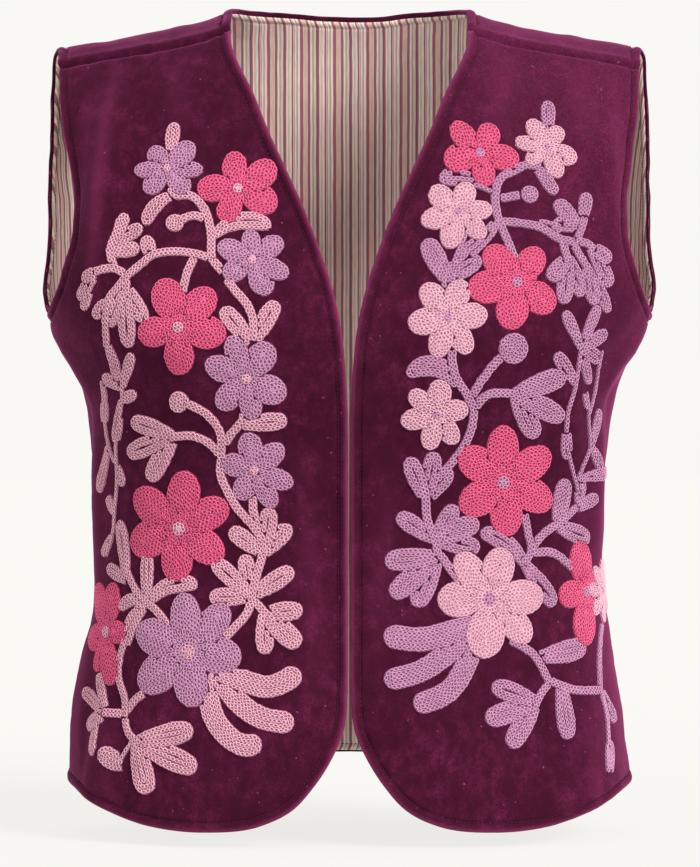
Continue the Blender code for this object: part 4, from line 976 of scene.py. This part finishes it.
def shape_link():
    """One link of chain stitch: a loop of yarn, wide and low where it ends, pinched and proud where it
    comes up inside the link before, with a little fuzz beneath."""
    bpy.ops.object.select_all(action="DESELECT")
    bpy.ops.mesh.primitive_torus_add(
        major_segments=8, minor_segments=4, major_radius=1.19, minor_radius=0.49
    )
    loop = bpy.context.object

    def grab(wanted):
        bpy.ops.object.mode_set(mode="OBJECT")
        for vertex in loop.data.vertices:
            vertex.select = bool(wanted(vertex.co))
        bpy.ops.object.mode_set(mode="EDIT")

    bpy.ops.object.mode_set(mode="EDIT")
    bpy.ops.mesh.select_mode(type="VERT")
    bpy.ops.mesh.select_all(action="DESELECT")
    grab(lambda co: co.x > 0.3)
    bpy.ops.transform.translate(value=(0.62, 0, 0))
    grab(lambda co: co.x < -0.3)
    bpy.ops.transform.translate(value=(-0.72, 0, 0.14))
    grab(lambda co: co.x < -1.3)
    bpy.ops.transform.resize(value=(1, 0.66, 1), center_override=(-1.6, 0, 0))
    bpy.ops.transform.translate(value=(0, 0, 0.2))
    bpy.ops.object.mode_set(mode="OBJECT")
    points, faces = taken(loop)
    strands = np.vstack([faces[:, [0, 1, 2]], faces[:, [0, 2, 3]]])
    return np.vstack([points, FUZZ]), np.vstack([strands, np.array(FUZZ_FACES) + len(points)])


def wool_finish(name, dark, light, fuzz_and_shade):
    """Soft, matt wool: the colour wanders a little from link to link and the fibres catch the light."""
    wool = Finish("wool_" + name, {
        "Roughness": 0.95, "Specular IOR Level": 0.12,
        "Sheen Weight": 0.35, "Sheen Roughness": 0.6, "Sheen Tint": light,
    })
    place = wool.add("TexCoord", "Object", {})
    dyeing, fibres = wool.noise(place, 260, 1), wool.noise(place, 2200, 3)
    tone = wool.maths("MULTIPLY", wool.maths("ADD", dyeing, fibres), 0.5)
    strand = wool.ramp(tone, ((0.30, dark), (0.68, light)))
    under = wool.add("Attribute", "Fac", {}, attribute_name="under")
    # the plate under each link takes the fuzz colour: loose fibres, darkened as painted shade between the
    # rows
    return wool.done(wool.blend(strand, fuzz_and_shade, under), fibres, 0.6, 0.25 * MM)


def heading(angle):
    """Unit steps along a direction and across it: 0 leads away from the centre, and a quarter turn up."""
    return np.array((math.cos(angle), -math.sin(angle))), np.array((math.sin(angle), math.cos(angle)))


def about(across, down, reach, turn):
    return across + reach * math.cos(turn), down + reach * math.sin(turn)


def rows_across(width, row_width):
    """How far in from the edge each row lies, and whether one more runs up the middle."""
    count = max(2, round(width / row_width))
    return (np.arange(count // 2) + 0.5) * width / count, count % 2


def looped(foot, middle, ahead, aside, steps):
    """Up one side of a petal or leaf, round its tip and down the other side: along and across it."""
    arc = np.linspace(-math.pi / 2, math.pi / 2, steps)
    tip = [(middle + ahead * math.cos(a), aside * math.sin(a)) for a in arc]
    return [*foot, *tip, *[(x, -y) for x, y in foot[::-1]]]


def petal_shapes(petals):
    """Each petal's direction, length and half width, which its neighbours on both sides leave it."""
    shapes = []
    for k, (way, length) in enumerate(petals):
        before, after = petals[k - 1][0], petals[(k + 1) % len(petals)][0]
        room = math.radians(min((way - before) % 360 + (after - way) % 360, NEIGHBOURS_OFF) / 4)
        half = min(PETAL_ROOM * math.tan(room), PETAL_WIDEST) * length
        shapes.append((math.radians(way), length, half))
    return shapes


def petal_rows(across, down, start, way, length, half):
    """A petal's rows, the outermost first: from the heart up one side, round the tip and back."""
    out, over = heading(way)
    heart, rows = np.array((across, down)), []
    insets, odd = rows_across(2 * half, PETAL_ROW)
    for inset in insets:
        w = half - inset
        foot = [(start + inset * 0.5, -w * 0.40), (0.36 * length, -w * 0.80)]
        local = looped(foot, PETAL_BODY * length, PETAL_CAP * length - inset, w, 9)
        rows.append([heart + out * x + over * y for x, y in local])
    if odd:
        rows.append([heart + out * x for x in (start + half * 0.4, length - half * 0.9)])
    return rows


def petal_fill(across, down, start, way, length, half):
    """One more row up the middle, wherever the others have left it bare."""
    out, heart = heading(way)[0], np.array((across, down))
    return [[heart + out * x for x in (start + 1.0, length - half * 0.7)]]


def heart_rays(across, down, start, end):
    """Short rows that fill in between the petals' feet, out from the heart."""
    turns = np.linspace(0, math.tau, 24, endpoint=False)
    return [[about(across, down, reach, turn) for reach in (start, end)] for turn in turns]


def ring_rows(across, down, reach, row_width):
    """Rows round and round inside a circle, with one link in its middle."""
    rows, turns = [], np.linspace(0, math.tau, 13)
    reach -= row_width / 2
    while reach > 0.9:
        rows.append([about(across, down, reach, turn) for turn in turns])
        reach -= row_width
    return [*rows, [(across - 1.2, down), (across + 1.2, down)]]


def leaf_rows(base, direction, length, width, bend=0):
    """A leaf: a row round its edge, then rows inside it."""
    out, over = heading(math.radians(direction))
    length, width = length + LEAF_EASE, width + LEAF_EASE
    tip, rows = length - width / 2, []

    def at(x, y):
        sway = bend * math.sin(math.pi * min(max(x / length, 0), 1))
        return base + out * x - over * sway + over * y

    insets, odd = rows_across(width, ROW_WIDTH)
    for inset in insets:
        w = width / 2 - inset
        foot = [(0.4 + inset * 0.5, -w * 0.5), (length * 0.3, -w * 0.93)]
        rows.append([at(x, y) for x, y in looped(foot, tip, w, w, 7)])
    if odd:
        rows.append([at(x, 0) for x in (1.5, length * 0.5, tip)])
    return rows


def spine_through(places):
    """The middle of a stem or tail, with unit steps along and across it at each place."""
    spine = run_through(places, SPINE_PITCH)
    run = np.gradient(spine, axis=0)
    run /= np.linalg.norm(run, axis=1)[:, None]
    return spine, run, np.c_[-run[:, 1], run[:, 0]]


def stem_rows(count, *places):
    spine, _, over = spine_through(places)
    return [spine + over * (k - (count - 1) / 2) * STEM_ROW for k in range(count)]


def tail_rows(width, *places):
    """A long tail: a row round its edge and rows inside, narrow at its root and rounded at its end."""
    spine, run, over = spine_through(places)
    half = np.interp(np.linspace(0, 1, len(spine)), (0, 0.3, 1), (0.28, 0.5, 0.5)) * width
    end = int(round(len(spine) * (1 - width / 2 / (len(spine) * SPINE_PITCH)))) - 1
    arc, rows = np.linspace(-math.pi / 2, math.pi / 2, 7)[1:-1], []
    insets, odd = rows_across(width, ROW_WIDTH)
    for inset in insets:
        w = (half - inset).clip(0.2)
        aside = over[:end] * w[:end, None]
        cap = [spine[end] + run[end] * w[end] * math.cos(a) - over[end] * w[end] * math.sin(a) for a in arc]
        rows.append([*(spine[:end] + aside), *cap, *(spine[:end] - aside)[::-1]])
    if odd:
        rows.append([*spine[1:end + 1], spine[end] + run[end] * 2.0])
    return rows


class Needlework:
    """Works rows of chain stitch on one front. A row stops where wool already lies, so that rows butt
    up and never pile up, and a new motif keeps a little further off."""

    ALONG, BESIDE, APART = 2.4, 1.85, 2.15  # room kept in line, beside a link, and beside another motif

    def __init__(self, seed):
        self.links = np.empty((0, 3))
        self.pick = np.random.default_rng(seed)

    def work(self, rows, puff=0.15, swell=0.12, crowd=1.0):
        """The links of these rows: a puff raises them all, a swell each row over the one outside it."""
        worked, earlier = [], len(self.links)
        for depth, row in enumerate(rows):
            steps = run_through(row, LINK_PITCH)
            middles, runs = (steps[:-1] + steps[1:]) / 2, np.diff(steps, axis=0)
            x, y, turn = self.links.T
            beside = np.where(np.arange(len(x)) < earlier, self.APART, self.BESIDE)
            placed = []
            for middle, run in zip(middles, runs):
                dx, dy = x - middle[0], y - middle[1]
                ahead = dx * np.cos(turn) + dy * np.sin(turn)
                aside = dy * np.cos(turn) - dx * np.sin(turn)
                if ((ahead / self.ALONG) ** 2 + (aside / beside) ** 2 > crowd).all():
                    placed.append((*middle, math.atan2(run[1], run[0])))
            if placed:
                self.links = np.vstack([self.links, placed])
            for place in placed:
                stray = self.pick.normal(0, STRAY, 4)
                worked.append((*(place + stray[:3]), LINK_LIFT + puff + swell * depth, 1 + stray[3]))
        return worked


link_shape = shape_link()
wools = {name: wool_finish(name, *tones) for name, tones in YARNS.items()}
cad_nodes = sorted(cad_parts)


def wool_piece(name, places, drape, yarn, nodes):
    piece = mesh_piece(name, *repeated(link_shape, places, drape), wools[yarn])
    under = np.zeros((len(places), len(link_shape[0])))
    under[:, -len(FUZZ):] = 1
    mark(piece, "under", under.ravel())
    if nodes:
        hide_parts(*nodes)
    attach(piece, "root")


def embroider(side_name, drape, vine_yarn, seed, flowers, stems, sprays, buds, tails):
    """One front's wool, in the order it is worked: the flowers first, then the vine up to them."""
    needle = Needlework(seed)
    hearts = []
    for number, (across, down, yarn, *petals) in enumerate(flowers, 1):
        longest = max(length for _, length in petals)
        reach = HEART_REACH * longest + HEART_EASE
        hearts += needle.work(ring_rows(across, down, reach, HEART_ROW), puff=0.5, swell=0.25, crowd=0.45)
        links = []
        if longest > BIG_FLOWER:
            reach += COLLAR
            collar = ring_rows(across, down, reach, COLLAR_ROW)[:1]
            links += needle.work(collar, puff=0.2, swell=0, crowd=0.7)
        for shape in petal_shapes(petals):
            filled = petal_rows(across, down, reach + PETALS_OFF, *shape)
            links += needle.work(filled, puff=0.1, swell=0.17)
            bare = petal_fill(across, down, reach + PETALS_OFF, *shape)
            links += needle.work(bare, puff=0.35, swell=0, crowd=0.5)
        rays = heart_rays(across, down, reach, reach + RAY_REACH * longest)
        links += needle.work(rays, puff=0.1, swell=0, crowd=0.55)
        node = f"flower_{side_name}_{number}"
        wool_piece("stitched_" + node, links, drape, yarn, [node])
    rows = [ring_rows(*bud, ROW_WIDTH) for bud in buds]
    rows += [stem_rows(*stem) for stem in stems]
    rows += [tail_rows(*tail) for tail in tails]
    rows += [leaf_rows((across, down), *leaf) for across, down, *leaves in sprays for leaf in leaves]
    vine = [link for motif in rows for link in needle.work(motif)]
    nodes = [node for node in cad_nodes if node.startswith(f"vine_{side_name}_")]
    wool_piece(f"stitched_vine_{side_name}", vine, drape, vine_yarn, nodes)
    wool_piece(f"stitched_flower_hearts_{side_name}", hearts, drape, vine_yarn, [])


embroider(
    "right", right_drape, "pink", 31,
    RIGHT_FLOWERS, RIGHT_STEMS, RIGHT_SPRAYS, RIGHT_BUDS, RIGHT_TAILS,
)
embroider(
    "left", left_drape, "lilac", 32,
    LEFT_FLOWERS, LEFT_STEMS, LEFT_SPRAYS, LEFT_BUDS, LEFT_TAILS,
)

# ---- Room --------------------------------------------------------------------------------------
# A pale acrylic shooting table, lit from below so that only a faint shadow shows on it, just under
# the hem, with soft light from above and both sides and the camera level with the middle.
FLOOR_LEVEL = -0.5450
PALE = (0.947, 0.939, 0.905)
LIT_FROM_BELOW = 0.84
CAMERA_PLACE, LENS = (0.0005, -2.6, -0.2744), 158.8


def pale_floor():
    acrylic = Finish("pale_acrylic", {
        "Base Color": (0.0945, 0.0937, 0.0904), "Roughness": 1.0, "Specular IOR Level": 0.0,
        "Emission Color": PALE, "Emission Strength": LIT_FROM_BELOW,
    })
    bpy.ops.object.select_all(action="DESELECT")
    bpy.ops.mesh.primitive_plane_add(size=40, location=(0, 0, FLOOR_LEVEL))
    floor = bpy.context.object
    floor.name = "floor"
    floor.data.materials.append(acrylic.material)


def soft_light(name, towards, spread, strength, tint):
    """Light from a big, far-off softbox, so that it falls evenly over the floor."""
    lamp = bpy.data.lights.new(name, "SUN")
    lamp.angle, lamp.energy, lamp.color = math.radians(spread), strength, tint
    holder = bpy.data.objects.new(name, lamp)
    holder.rotation_mode = "QUATERNION"
    holder.rotation_quaternion = Vector(towards).to_track_quat("-Z", "Y")
    bpy.context.scene.collection.objects.link(holder)


pale_floor()
soft_light("key", (-1.35, 1.3, -1.1), 28, 4.2, (1.0, 0.985, 0.97))
soft_light("fill", (1.2, 1.5, -0.35), 50, 1.1, (0.98, 0.985, 1.0))
world = bpy.data.worlds.new("room_light")
world.use_nodes = True
world.node_tree.nodes["Background"].inputs["Color"].default_value = (*PALE, 1)
world.node_tree.nodes["Background"].inputs["Strength"].default_value = 1.0
bpy.context.scene.world = world
bpy.context.scene.view_settings.view_transform = "Standard"

lens = bpy.data.cameras.new("camera")
lens.sensor_width, lens.lens = 36, LENS
viewer = bpy.data.objects.new("camera", lens)
viewer.location = CAMERA_PLACE
viewer.rotation_euler = (math.pi / 2, 0, 0)
bpy.context.scene.collection.objects.link(viewer)
bpy.context.scene.camera = viewer
